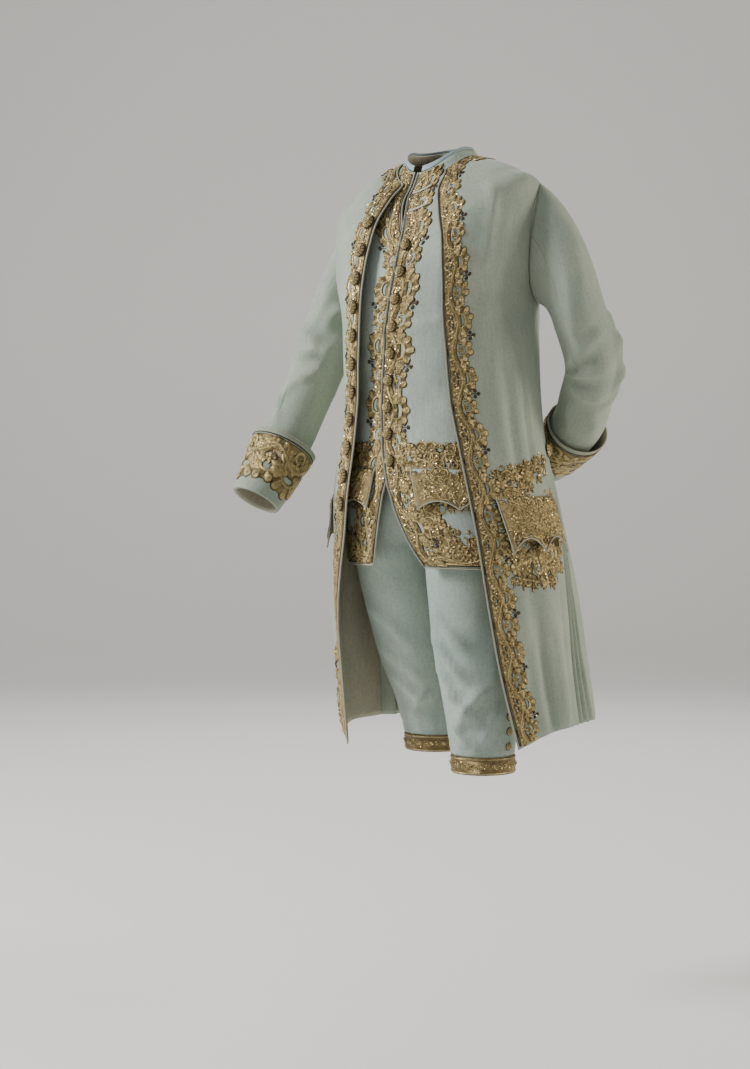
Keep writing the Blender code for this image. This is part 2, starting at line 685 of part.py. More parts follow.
def make_flaps_and_fields(folder, looks):
    over_field = EMBROIDERY_CLEARANCE + EMBROIDERY + 0.0009
    for name, side in SIDES:
        make_flap(f"coat_flap_{name}", coat, side, COAT_FLAP, over_field, folder, looks["gold"])
        rows = []
        steps = 6
        for step in range(steps + 1):
            place = mix(COAT_FIELD.top, COAT_FIELD.bottom, step / steps)
            opening = coat_opening(place)
            edge = opening.left if side > 0 else -opening.right
            first = edge + degrees_for(coat, side * edge, place, COAT_BORDER.wide) + 1.0
            round_end = 9.0 * abs(2.0 * step / steps - 1.0) ** 2
            last = min(COAT_FIELD.last - round_end, seam_angle(place) - pleat_half(place) - 2.0)
            rows.append((place, side * first, side * last))
        lift = EMBROIDERY_CLEARANCE + EMBROIDERY
        panel(f"coat_pocket_field_{name}", coat, rows, 6, looks["gold"], folder, lift, EMBROIDERY)

        surface = waistcoat_left if side > 0 else waistcoat
        make_flap(f"waistcoat_flap_{name}", surface, side, WAISTCOAT_FLAP, over_field, folder, looks["gold"])
        rows = []
        steps = 7
        for step in range(steps + 1):
            place = mix(WAISTCOAT_FIELD.top, WAISTCOAT_FIELD.bottom, step / steps)
            edge = side * waistcoat_at(place)[2 if side > 0 else 3]
            if side < 0:
                edge = max(edge, -waistcoat_at(place).left + 1.5)
            first = edge + degrees_for(surface, side * edge, place, 0.004)
            rows.append((place, side * first, side * WAISTCOAT_FIELD.last))
        panel(f"waistcoat_skirt_field_{name}", surface, rows, 6, looks["gold"], folder, lift, EMBROIDERY)


# Buttons are low domes on the embroidery, as (name, count, first height, last height, radius).
ButtonRow = namedtuple("ButtonRow", "name count first last radius half_height")
COAT_BUTTONS = ButtonRow("coat_button", 11, 1.390, 0.903, 0.0110, 0.0045)
WAISTCOAT_BUTTONS = ButtonRow("waistcoat_button", 9, 1.346, 0.979, 0.0090, 0.0045)
BUTTON_INSET = 0.017
BUTTON_CLEARANCE = 0.0001


def place_at_height(surface, angle_at, height):
    """The ring number where the line down a front has this height above the floor."""
    low, high = NECK, HEM
    for _ in range(30):
        place = (low + high) / 2.0
        if surface(angle_at(place), place).z + ORIGIN_HEIGHT > height:
            low = place
        else:
            high = place
    return (low + high) / 2.0


def make_buttons(surface, side, edge_angle, row, folder, look):
    def line(place):
        edge = edge_angle(place)
        return edge + side * degrees_for(surface, edge, place, BUTTON_INSET)

    for number in range(row.count):
        height = mix(row.first, row.last, number / (row.count - 1))
        place = place_at_height(surface, line, height)
        normal = outward(surface, line(place), place)
        off = EMBROIDERY_CLEARANCE + EMBROIDERY + BUTTON_CLEARANCE + row.half_height
        mesh = bpy.data.meshes.new(row.name)
        work = bmesh.new()
        bmesh.ops.create_uvsphere(work, u_segments=8, v_segments=4, radius=row.radius)
        squash = Matrix.Diagonal((1.0, 1.0, row.half_height / row.radius, 1.0))
        work.transform(normal.to_track_quat("Z", "Y").to_matrix().to_4x4() @ squash)
        work.to_mesh(mesh)
        work.free()
        made = finish(f"{row.name}_{number + 1:02d}", mesh, look, folder)
        made.location = surface(line(place), place) + normal * off


@functools.lru_cache(maxsize=None)
def pelvis_ring(height):
    return PelvisRing(*row_at(PELVIS_RINGS, row_number(PELVIS_RINGS, height)))


@functools.lru_cache(maxsize=None)
def leg_ring(height):
    return LegRing(*row_at(LEG_RINGS, row_number(LEG_RINGS, height)))


def breeches(side, turn, height):
    """A point of one half of the breeches. turn is in degrees: 0 at the outseam, over the front
    to 180 at the inseam, and negative over the back. Above the crotch the half is open."""
    angle = math.radians(turn)
    ahead = math.sin(angle)
    if height >= CROTCH:
        ring = pelvis_ring(height)
        split = split_share(height)
        middle = split * (ring.half + SEAM_GAP) / 2.0
        depth = ring.front if ahead > 0 else ring.back
        x = middle + (ring.half - middle) * math.cos(angle)
        return Vector((side * x, -depth * ahead, height - ORIGIN_HEIGHT))
    ring = leg_ring(height)
    depth = ring.front if ahead > 0 else ring.back
    centre_x = ring.left_x if side > 0 else ring.right_x
    centre_y = ring.left_y if side > 0 else ring.right_y
    up = ring.left_up if side > 0 else ring.right_up
    x = centre_x + side * ring.half * math.cos(angle)
    return Vector((x, centre_y - depth * ahead, height + up - ORIGIN_HEIGHT))


def split_share(height):
    """0 where the seat is one oval and 1 where it has become two legs."""
    drop = min(1.0, max(0.0, (RISE_TOP - height) / (RISE_TOP - CROTCH)))
    return 2.0 * drop / (1.0 + drop)


def last_turn(height):
    """The turn where a half of the breeches reaches the middle of the body, or the inseam."""
    if height < CROTCH:
        return 180.0
    ring = pelvis_ring(height)
    middle = split_share(height) * (ring.half + SEAM_GAP) / 2.0
    return math.degrees(math.acos(max(-1.0, (SEAM_GAP / 2.0 - middle) / (ring.half - middle))))


def breeches_outward(side, turn, height):
    step, rise = 0.5, 0.002
    sideways = breeches(side, turn + step, height) - breeches(side, turn - step, height)
    down = breeches(side, turn, height - rise) - breeches(side, turn, height + rise)
    return sideways.cross(down).normalized() * side


BREECHES_HEIGHTS = [
    1.0355, 0.985, 0.930, 0.900, 0.865, 0.840, 0.830,
    0.795, 0.745, 0.685, 0.615, 0.545, 0.495, 0.4663,
]
BREECHES_COLUMNS = 6


def make_breeches(folder, looks):
    for name, side in SIDES:
        for part, way in (("front", 1), ("back", -1)):
            outer, inner = [], []
            for height in BREECHES_HEIGHTS:
                margin = math.degrees(SEAM_GAP / 2.0 / 0.06)
                end = last_turn(height)
                end -= margin if end > 179.0 else 0.0
                turns = [
                    way * mix(margin, end, column / BREECHES_COLUMNS)
                    for column in range(BREECHES_COLUMNS + 1)
                ]
                points = [(breeches(side, turn, height), breeches_outward(side, turn, height)) for turn in turns]
                outer.append([point for point, _ in points])
                inner.append([point - normal * CLOTH for point, normal in points])
            wall(f"breeches_{part}_{name}", outer, inner, looks["cloth"], folder)
        make_knee_band(name, side, folder, looks["gold"])
    make_waistband(folder, looks["cloth"])


def make_knee_band(name, side, folder, look):
    """The stiff gold band that gathers a leg below the knee."""
    rows, columns = 2, 16
    outer, inner = [], []
    for row in range(rows + 1):
        height = mix(KNEE_BAND_TOP - SEAM_GAP, KNEE_BAND_BOTTOM, row / rows)
        turns = [360.0 * column / columns - 180.0 for column in range(columns)]
        inner.append([breeches(side, turn, height) for turn in turns])
        centre = sum(inner[-1], Vector()) / columns
        outer.append([point + (point - centre).normalized() * KNEE_BAND for point in inner[-1]])
    wall(f"breeches_knee_band_{name}", outer, inner, look, folder, closed=True)


def make_waistband(folder, look):
    """The band rises from the breeches' top to lie just inside the waistcoat."""
    rows, columns = 2, 28
    outer, inner = [], []
    for row in range(rows + 1):
        over, under = [], []
        for column in range(columns):
            angle = 360.0 * column / columns - 180.0
            side = 1 if angle > 0 else -1
            low = breeches(side, 90.0 - abs(angle), PELVIS_RINGS[0].height)
            low.z += SEAM_GAP
            high = torso_offset(angle, WAISTBAND_PLACE, -waistband_depth())
            point = low.lerp(high, 1.0 - row / rows)
            inside = Vector((-point.x, -point.y, 0.0)).normalized()
            over.append(point)
            under.append(point + inside * CLOTH)
        outer.append(over)
        inner.append(under)
    wall("breeches_waistband", outer, inner, look, folder, closed=True)


def waistband_depth():
    """The waistband lies just inside the waistcoat's closure, which presses on it."""
    return waistcoat_at(WAISTBAND_PLACE).depth + CLOTH + UNDERLAP_DROP + 0.0006


def main():
    for old in list(bpy.data.objects):
        bpy.data.objects.remove(old)
    folder = bpy.data.collections.new("court_suit")
    bpy.context.scene.collection.children.link(folder)
    looks = {
        "cloth": material("celadon_wool", TEAL, 0.75, 0.0),
        "silk": material("ivory_silk", IVORY, 0.5, 0.0),
        "gold": material("metal_thread", GOLD, 0.4, 0.8),
    }
    make_coat_shell(folder, looks)
    make_sleeves(folder, looks)
    make_waistcoat(folder, looks)
    make_borders(folder, looks)
    make_flaps_and_fields(folder, looks)
    make_breeches(folder, looks)
    make_buttons(coat, -1, lambda place: coat_opening(place).right, COAT_BUTTONS, folder, looks["gold"])
    make_buttons(
        waistcoat_left, 1, lambda place: waistcoat_at(place).left, WAISTCOAT_BUTTONS, folder, looks["gold"]
    )


main()
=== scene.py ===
"""Court suit of about 1760, as worn: an open embroidered coat, a buttoned waistcoat and breeches.

Every garment is laid on a smooth form, read by two numbers. On the coat and the waistcoat they
are an angle in degrees from the centre front, and a place in ring numbers from the neck (0) to
the coat's hem (14). On a sleeve they are a turn in degrees and a reach from the armhole (0) to
the wrist (5). On the breeches they are a turn in degrees and a height above the floor. The front
faces -Y, +X is the suit's own left, and the origin is the middle of the neck.
"""

import logging
import math
import random
from dataclasses import dataclass, field
from enum import Enum
from functools import partial
from typing import Any, Callable, Sequence

import bmesh
import bpy
import numpy as np
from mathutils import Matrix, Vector


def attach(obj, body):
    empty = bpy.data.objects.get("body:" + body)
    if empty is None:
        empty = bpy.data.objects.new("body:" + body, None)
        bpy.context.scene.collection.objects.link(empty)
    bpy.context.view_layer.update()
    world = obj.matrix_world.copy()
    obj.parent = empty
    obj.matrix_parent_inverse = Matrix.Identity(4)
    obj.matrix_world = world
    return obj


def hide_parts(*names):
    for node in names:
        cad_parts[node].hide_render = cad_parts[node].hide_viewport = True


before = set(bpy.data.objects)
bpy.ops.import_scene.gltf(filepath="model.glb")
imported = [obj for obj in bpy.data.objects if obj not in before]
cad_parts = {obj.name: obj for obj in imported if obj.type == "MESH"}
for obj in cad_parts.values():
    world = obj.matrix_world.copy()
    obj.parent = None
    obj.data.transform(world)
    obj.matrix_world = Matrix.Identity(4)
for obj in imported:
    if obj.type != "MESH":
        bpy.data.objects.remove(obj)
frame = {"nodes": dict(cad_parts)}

log = logging.getLogger("court_suit")

# Sizes are in metres. The origin's height is above the floor, and the rest are cloth.
ORIGIN_HEIGHT = 1.507
CLOTH = 0.002
LINING = 0.001
SEAM_GAP = 0.0003
BODY = "root"
# A wave texture's bands lie this far apart at a scale of 1.
BAND = 0.314
Material, NodeTree, Object = bpy.types.Material, bpy.types.NodeTree, bpy.types.Object
Array = np.ndarray
Pair = tuple[float, float]


class Side(Enum):
    """A side of the suit, with its sign along X."""

    LEFT = 1
    RIGHT = -1

    @property
    def word(self) -> str:
        """The side's name as it stands in a node's name."""
        return self.name.lower()


class Held(Enum):
    """How a sheet of cloth is held."""

    HUNG = "hung"
    FOLDED = "folded"


def mix(low: Any, high: Any, share: Any) -> Any:
    """The number at this share of the way from low to high."""
    return low + (high - low) * share


def smooth(share: Any) -> Array:
    """A ramp from 0 to 1 with level ends."""
    share = np.clip(share, 0.0, 1.0)
    return share * share * (3.0 - 2.0 * share)


def wrapped(angle: Any) -> Array:
    """An angle in degrees, brought between -180 and 180."""
    return (np.asarray(angle, float) + 180.0) % 360.0 - 180.0


def unit(vectors: Array) -> Array:
    """The same directions with a length of 1."""
    return vectors / np.maximum(np.linalg.norm(vectors, axis=-1, keepdims=True), 1e-12)


def circle(count: int) -> Array:
    """Turns in radians, evenly round a circle."""
    return np.linspace(0.0, 2.0 * math.pi, count, endpoint=False)


def spokes(turns: Array) -> Array:
    """Flat directions at turns in radians."""
    return np.stack([np.cos(turns), np.sin(turns)], axis=-1)


def along_path(path: Array) -> Array:
    """How far each point of a path lies from its start."""
    return np.concatenate([[0.0], np.cumsum(np.linalg.norm(np.diff(path, axis=0), axis=1))])


def in_metres(*rows: Sequence[float]) -> Array:
    """Rows of millimetres, in metres."""
    return np.array(rows, float) / 1000.0


@dataclass(frozen=True)
class Table:
    """Rows of measurements under named columns, read between them on a smooth curve."""

    names: tuple[str, ...]
    rows: Any

    def at(self, index: Any) -> dict[str, Array]:
        """Reads the table at fractional row numbers.

        Args:
            index: The row numbers.

        Returns:
            Each column's values, by its name.
        """
        grid = np.array(self.rows, float)
        index = np.asarray(index, float)
        low = np.clip(np.floor(index).astype(int), 0, len(grid) - 2)
        share = (index - low)[..., None]
        start, end = grid[low], grid[low + 1]
        slope_start = (end - grid[np.maximum(low - 1, 0)]) / 2.0
        slope_end = (grid[np.minimum(low + 2, len(grid) - 1)] - start) / 2.0
        square, cube = share**2, share**3
        values = (2 * cube - 3 * square + 1) * start + (cube - 2 * square + share) * slope_start
        values = values + (3 * square - 2 * cube) * end + (cube - square) * slope_end
        return {name: values[..., number] for number, name in enumerate(self.names)}

    def keyed(self, key: Any) -> dict[str, Array]:
        """Reads the table where its first column, which runs one way, has these values.

        Args:
            key: The values to look for.

        Returns:
            Each column's values, by its name.
        """
        keys = np.array([row[0] for row in self.rows], float)
        key = np.asarray(key, float)
        way = 1.0 if keys[-1] > keys[0] else -1.0
        number = np.clip(np.searchsorted(keys * way, key * way, side="left") - 1, 0, len(keys) - 2)
        share = (key - keys[number]) / (keys[number + 1] - keys[number])
        return self.at(number + share)


RINGS = Table(
    ("front_z", "side_z", "back_z", "right", "left", "front", "back", "mid_x", "mid_y", "tilt"),
    in_metres(
        (1492, 1527, 1535, 61, 61, 62, 54, 0, 0, 0), (1452, 1507, 1516, 74, 74, 78, 66, 0, 0, 0),
        (1425, 1494, 1485, 118, 118, 104, 92, 0, 0, 2), (1383, 1472, 1436, 160, 160, 128, 119, 0, 0, 6),
        (1330, 1441, 1372, 190, 198, 145, 137, 0, 0, 9), (1272, 1352, 1300, 190, 194, 154, 146, 0, 0, 4),
        (1212, 1262, 1230, 176, 180, 157, 146, 0, 0, 0), (1148, 1172, 1155, 173, 182, 154, 143, 0, 0, 0),
        (1075, 1085, 1075, 173, 187, 150, 142, 0, 0, 0), (1000, 1000, 1000, 184, 196, 154, 152, 0, 0, 0),
        (920, 920, 920, 199, 212, 160, 172, 2, 0, 0), (840, 840, 840, 202, 224, 161, 190, 4, 0, 0),
        (725, 725, 725, 206, 236, 161, 206, 6, 2, 2), (608, 617, 612, 203, 244, 158, 220, 8, 6, 6),
        (421, 516, 508, 200, 254, 156, 232, 10, 12, 10),
    ),
)
COAT_OPENING = Table(
    ("place", "left", "right", "left_off", "right_off"),
    (
        (1, 45, -21, 0, 0), (2, 32.5, -16, 0.001, 0.001), (3, 30, -15, 0.001, 0.004),
        (4, 29.7, -13.5, 0.002, 0.007), (6, 35, -16.5, 0.003, 0.01), (8, 37, -21, 0.004, 0.01),
        (9, 41, -22, 0.004, 0.01), (10, 43.6, -25, 0.003, 0.008), (11, 45.8, -29, 0.003, 0.006),
        (12, 48.2, -38, 0.004, 0.003), (13, 50.9, -47, 0.005, 0.002), (14, 56, -51, 0.006, 0),
    ),
)
WAISTCOAT = Table(
    ("place", "depth", "left", "right"),
    (
        (0, 0.0038, -1, -9), (1, 0.0042, -4, -9), (2, 0.0048, 1.5, -4), (3, 0.0068, 4.4, 3),
        (4, 0.0072, 3.2, 10), (5, 0.0068, 1.2, 9), (6, 0.008, -1.8, 6), (7, 0.0105, -5, 3), (8, 0.012, -8.4, 0),
        (9, 0.015, -7, 0.5), (9.5, 0.0175, -4.6, -3.2), (10, 0.02, -1, -7.7), (11, 0.024, 8.3, -13.9),
        (12, 0.028, 28, -20),
    ),
)
SLEEVE_COLUMNS = ("x", "y", "height", "radius")
SLEEVES = {
    Side.LEFT: Table(
        SLEEVE_COLUMNS,
        in_metres(
            (259, 52, 1222, 46.5), (260, 88, 1146, 46), (226, 121, 1088, 46.5), (182, 155, 1039, 46),
            (87, 197, 978, 42),
        ),
    ),
    Side.RIGHT: Table(
        SLEEVE_COLUMNS,
        in_metres(
            (-240, -10, 1225, 50), (-240, -48, 1155, 47), (-239, -94, 1085, 45.5), (-241, -143, 1008, 44.5),
            (-256, -205, 908, 42),
        ),
    ),
}
SEAT = Table(
    ("height", "half", "front", "back"),
    in_metres(
        (1036, 156, 125, 116), (985, 160, 123, 123), (930, 162, 120, 129), (880, 163, 116, 129),
        (830, 164, 110, 124),
    ),
)
LEGS = Table(
    ("height", "left_x", "left_y", "right_x", "right_y", "half", "front", "back", "left_up", "right_up"),
    in_metres(
        (830, 82.1, 0, -82.1, 0, 81.9, 110, 124, 0, 0), (785, 85, -8, -82, 6, 80.5, 100, 110, 1, 2),
        (730, 93, -19, -80, 12, 78, 90, 96, 2, 4), (650, 106, -36, -75.5, 26, 72.5, 78, 80, 4, 8),
        (560, 124, -48, -66, 44, 64, 67, 66, 7, 13), (495, 132, -52, -59, 54, 57.5, 61, 59, 9, 18),
        (466, 134, -53, -57, 57, 52.5, 55, 53, 10, 20), (434, 135, -53, -56, 58, 52, 54, 52, 10, 20),
    ),
)


@dataclass(frozen=True)
class Crease:
    """A soft ridge in the cloth, or a trough where its height is negative.

    Attributes:
        start: One end, as the form's two numbers.
        end: The other end.
        width: Half its width, in metres.
        height: How far it stands out at its middle, in metres.
        bow: How far its middle is bent aside, in metres.
        lean: How much wider its second side is than its first.
    """

    start: Pair
    end: Pair
    width: float
    height: float
    bow: float = 0.0
    lean: float = 1.6

    def lift(self, across: Array, along: Array, scale: Pair) -> Array:
        """How far the crease moves each point of a form.

        Args:
            across: The form's first number at each point.
            along: The form's second number at each point.
            scale: Metres in one unit of each number.

        Returns:
            The height at each point, in metres.
        """
        step = np.array([(self.end[0] - self.start[0]) * scale[0], (self.end[1] - self.start[1]) * scale[1]])
        length = float(np.hypot(*step))
        ahead = step / length
        x, y = (across - self.start[0]) * scale[0], (along - self.start[1]) * scale[1]
        run = (x * ahead[0] + y * ahead[1]) / length
        aside = (y * ahead[0] - x * ahead[1]) - self.bow * 4.0 * run * (1.0 - run)
        wide = np.where(aside > 0, self.width * self.lean, self.width)
        ends = smooth((run + 0.12) / 0.4) * smooth((1.12 - run) / 0.4)
        return self.height * np.exp(-((aside / wide) ** 2)) * ends


def creases(*rows: Sequence[float]) -> tuple[Crease, ...]:
    """Creases from rows: each one's start, its end, and its half width, height and bow in millimetres."""
    return tuple(Crease((a, b), (c, d), *(size / 1000.0 for size in sizes)) for a, b, c, d, *sizes in rows)


class Form:
    """A smooth surface that cloth is laid on, read by two numbers.

    Attributes:
        scale: About how many metres one unit of each number makes.
        turned: 1 where down x sideways points outwards, and -1 where it points in.
    """

    scale: Pair = (0.0034, 0.08)
    turned: float = 1.0

    def points(self, across: Array, along: Array) -> Array:
        """The surface's points, as an array whose last axis is X, Y and Z."""
        raise NotImplementedError


@dataclass(frozen=True)
class BodyForm(Form):
    """The suit's body, lofted through RINGS."""

    squareness: float = 0.03

    def points(self, across: Array, along: Array) -> Array:
        """Reads the body.

        Args:
            across: Angles.
            along: Places.

        Returns:
            The points.
        """
        ring = RINGS.at(along)
        turn = np.radians(across)
        side, ahead = np.sin(turn), np.cos(turn)
        square = 1.0 + self.squareness * np.sin(2.0 * turn) ** 2
        half = np.where(side > 0, ring["left"], ring["right"])
        depth = np.where(ahead > 0, ring["front"], ring["back"])
        end_z = np.where(ahead > 0, ring["front_z"], ring["back_z"])
        x, y = ring["mid_x"] + half * side * square, ring["mid_y"] - depth * ahead * square
        z = mix(ring["side_z"], end_z, ahead * ahead) + ring["tilt"] * side - ORIGIN_HEIGHT
        return np.stack([x, y, z], axis=-1)

    def lifted(self, across: Array, along: Array, lift: Array) -> Array:
        """Points that stand off the body.

        Args:
            across: Angles.
            along: Places.
            lift: How far each point stands off, in metres.

        Returns:
            The points.
        """
        body = partial(BodyForm.points, self)
        sideways = body(across + 0.5, along) - body(across - 0.5, along)
        down = body(across, along + 0.01) - body(across, along - 0.01)
        return body(across, along) + unit(np.cross(down, sideways)) * lift[..., None]


@dataclass(frozen=True)
class CoatForm(BodyForm):
    """The coat's outer face: its free edges stand off the body and its skirt ripples."""

    edge_reach: float = 45.0
    ripples: int = 9
    ripple_top: float = 10.0
    ripple_height: float = 0.006

    def points(self, across: Array, along: Array) -> Array:
        """Reads the coat.

        Args:
            across: Angles.
            along: Places.

        Returns:
            The points.
        """
        opening = COAT_OPENING.keyed(along)
        angle = wrapped(across)
        left = opening["left_off"] * smooth(1.0 - (angle - opening["left"]) / self.edge_reach)
        right = opening["right_off"] * smooth(1.0 - (opening["right"] - angle) / self.edge_reach)
        fall = smooth((along - self.ripple_top) / (14.0 - self.ripple_top))
        ripple = self.ripple_height * fall * np.sin(np.radians(self.ripples * angle + 20.0))
        return self.lifted(across, along, np.where(angle > 0, left, right) + ripple)


@dataclass(frozen=True)
class WaistcoatForm(BodyForm):
    """The waistcoat's outer face, inside the coat.

    Attributes:
        underlap: How far the right front drops behind the left one at the closure.
    """

    underlap: float = 0.0
    underlap_angles: Pair = (-30.0, -10.0)

    def points(self, across: Array, along: Array) -> Array:
        """Reads the waistcoat.

        Args:
            across: Angles.
            along: Places.

        Returns:
            The points.
        """
        angle = wrapped(across)
        first, last = self.underlap_angles
        drop = self.underlap * smooth((angle - first) / (last - first)) * smooth(along - 1.0)
        drop = np.where(angle < 45.0, drop, 0.0)
        return self.lifted(across, along, -WAISTCOAT.keyed(along)["depth"] - drop)


@dataclass(frozen=True)
class Armhole:
    """An ellipse in angle and place, the same on both sides."""

    place: float = 4.95
    half_places: float = 1.12
    angle: float = 109.0
    half_angle: float = 20.0

    def edge(self, turn: Any, shrink: float = 0.0) -> tuple[Array, Array]:
        """Angles from the armhole's middle, and places, at turns in radians from its top."""
        half_angle, half_places = self.half_angle - shrink, self.half_places - shrink / 55.0
        return half_angle * np.sin(turn), self.place - half_places * np.cos(turn)

    def rows(self, top: float, hem: float, widen: float = 0.0, step: float = 0.13) -> tuple[Array, Array]:
        """The rows of a panel that the armhole is cut out of.

        Args:
            top: The panel's first place.
            hem: Its last place.
            widen: Degrees by which the armhole is drawn larger.
            step: How far apart the rows lie, in places.

        Returns:
            The place of each row, and how wide half the armhole is there.
        """
        halves, places = self.edge(np.linspace(0.0, math.pi, 27), -widen)
        above = np.linspace(top, places[0] - 0.06, max(4, round((places[0] - top) / step)))
        below = np.linspace(places[-1] + 0.06, hem, round((hem - places[-1]) / step))
        return np.concatenate([above, places, below]), np.concatenate([0 * above, np.abs(halves), 0 * below])


ARMHOLE = Armhole()


@dataclass(frozen=True)
class SleeveForm(Form):
    """A sleeve, from the armhole to the wrist."""

    side: Side = Side.LEFT
    scale: Pair = (0.0008, 0.075)

    @property
    def turned(self) -> float:
        """A sleeve's turn runs the other way on the left."""
        return -float(self.side.value)

    def ring_frame(self, index: Array) -> tuple[Array, ...]:
        """The sleeve's frame at a ring number.

        Args:
            index: Ring numbers down the sleeve, up to 4 at the wrist.

        Returns:
            The centre, the radius, the outward, forward and downward directions.
        """
        rows = [SLEEVES[self.side].at(index + shift) for shift in (0.0, 0.05, -0.05)]
        centre, *near = (np.stack([row["x"], row["y"], row["height"] - ORIGIN_HEIGHT], axis=-1) for row in rows)
        down = unit(near[0] - near[1])
        ahead = np.zeros_like(down)
        ahead[..., 1] = -1.0
        ahead = unit(ahead - down * (ahead * down).sum(axis=-1, keepdims=True))
        return centre, rows[0]["radius"], np.cross(ahead, down) * self.side.value, ahead, down

    def below(self, turn: Array, reach: Array, lift: Array) -> Array:
        """Points of the sleeve from its first ring down.

        Args:
            turn: Turns in radians.
            reach: Reaches of 1 or more.
            lift: How far each point stands off.

        Returns:
            The points.
        """
        centre, radius, out, ahead, _ = self.ring_frame(reach - 1.0)
        spoke = out * np.cos(turn)[..., None] + ahead * np.sin(turn)[..., None]
        return centre + spoke * (radius + lift)[..., None]

    def top(self, turn: Array) -> Array:
        """Points where the sleeve is set in, just inside the coat's armhole."""
        angle, place = ARMHOLE.edge(turn, shrink=0.1)
        return CoatForm().points(self.side.value * (ARMHOLE.angle - angle), place)

    def points(self, across: Array, along: Array) -> Array:
        """The sleeve's points at these turns and reaches."""
        return self.lifted(across, along, np.zeros(np.broadcast(across, along).shape))

    def lifted(self, across: Array, along: Array, lift: Array) -> Array:
        """Points that stand off the sleeve.

        Args:
            across: Turns in degrees.
            along: Reaches.
            lift: How far each point stands off, in metres.

        Returns:
            The points.
        """
        turn = np.radians(across)
        reach = np.minimum(along, 1.0)[..., None]
        start = self.top(turn)
        middle = (self.top(np.zeros(1)) + self.top(np.full(1, math.pi))) / 2.0
        start = start + unit(start - middle) * lift[..., None]
        end = self.below(turn, np.ones_like(turn), lift)
        down = self.ring_frame(np.zeros_like(turn))[4]
        up = np.maximum(0.0, np.cos(turn))
        leave = [0 * turn + self.side.value * 0.92, -0.36 * np.sin(turn), -0.55 + 0.05 * up]
        leave = unit(np.stack(leave, axis=-1))
        span = np.linalg.norm(end - start, axis=-1, keepdims=True)
        square, cube = reach**2, reach**3
        head = start * (2 * cube - 3 * square + 1) + leave * span * (cube - 2 * square + reach)
        head = head + end * (3 * square - 2 * cube) + down * span * (cube - square)
        return np.where((along >= 1.0)[..., None], self.below(turn, np.maximum(along, 1.0), lift), head)


@dataclass(frozen=True)
class LegForm(Form):
    """One half of the breeches, from the waist to below the knee."""

    side: Side = Side.LEFT
    rise_top: float = 0.93
    crotch: float = 0.83
    scale: Pair = (0.0012, 1.0)

    @property
    def turned(self) -> float:
        """A leg's turn runs the other way on the left, and its height runs upwards."""
        return float(self.side.value)

    def split(self, height: Array) -> Array:
        """0 where the seat is one oval and 1 where it has become two legs."""
        drop = np.clip((self.rise_top - height) / (self.rise_top - self.crotch), 0.0, 1.0)
        return 2.0 * drop / (1.0 + drop)

    def last_turn(self, height: Array) -> Array:
        """The turn where this half reaches the centre seam, or the inseam.

        Args:
            height: Heights above the floor.

        Returns:
            The turn at each height, in degrees.
        """
        half = SEAT.keyed(height)["half"]
        middle = self.split(height) * (half + SEAM_GAP) / 2.0
        level = np.clip((SEAM_GAP / 2.0 - middle) / (half - middle), -1.0, 1.0)
        return np.where(height < self.crotch, 180.0, np.degrees(np.arccos(level)))

    def points(self, across: Array, along: Array) -> Array:
        """Reads the breeches.

        Args:
            across: Turns in degrees.
            along: Heights above the floor.

        Returns:
            The points.
        """
        turn, way, word = np.radians(across), self.side.value, self.side.word
        sideways, ahead = np.cos(turn), np.sin(turn)
        ring, leg = SEAT.keyed(along), LEGS.keyed(along)
        middle = self.split(along) * (ring["half"] + SEAM_GAP) / 2.0
        depth = np.where(ahead > 0, ring["front"], ring["back"])
        seat = [way * (middle + (ring["half"] - middle) * sideways), -depth * ahead, along - ORIGIN_HEIGHT]
        depth = np.where(ahead > 0, leg["front"], leg["back"])
        x, y = leg[f"{word}_x"] + way * leg["half"] * sideways, leg[f"{word}_y"] - depth * ahead
        below = [x, y, along + leg[f"{word}_up"] - ORIGIN_HEIGHT]
        return np.where((along >= self.crotch)[..., None], np.stack(seat, axis=-1), np.stack(below, axis=-1))


# The creases were first drawn for limp silk. Wool over a stiff interlining breaks more deeply.
CREASE_DEPTH = 1.45


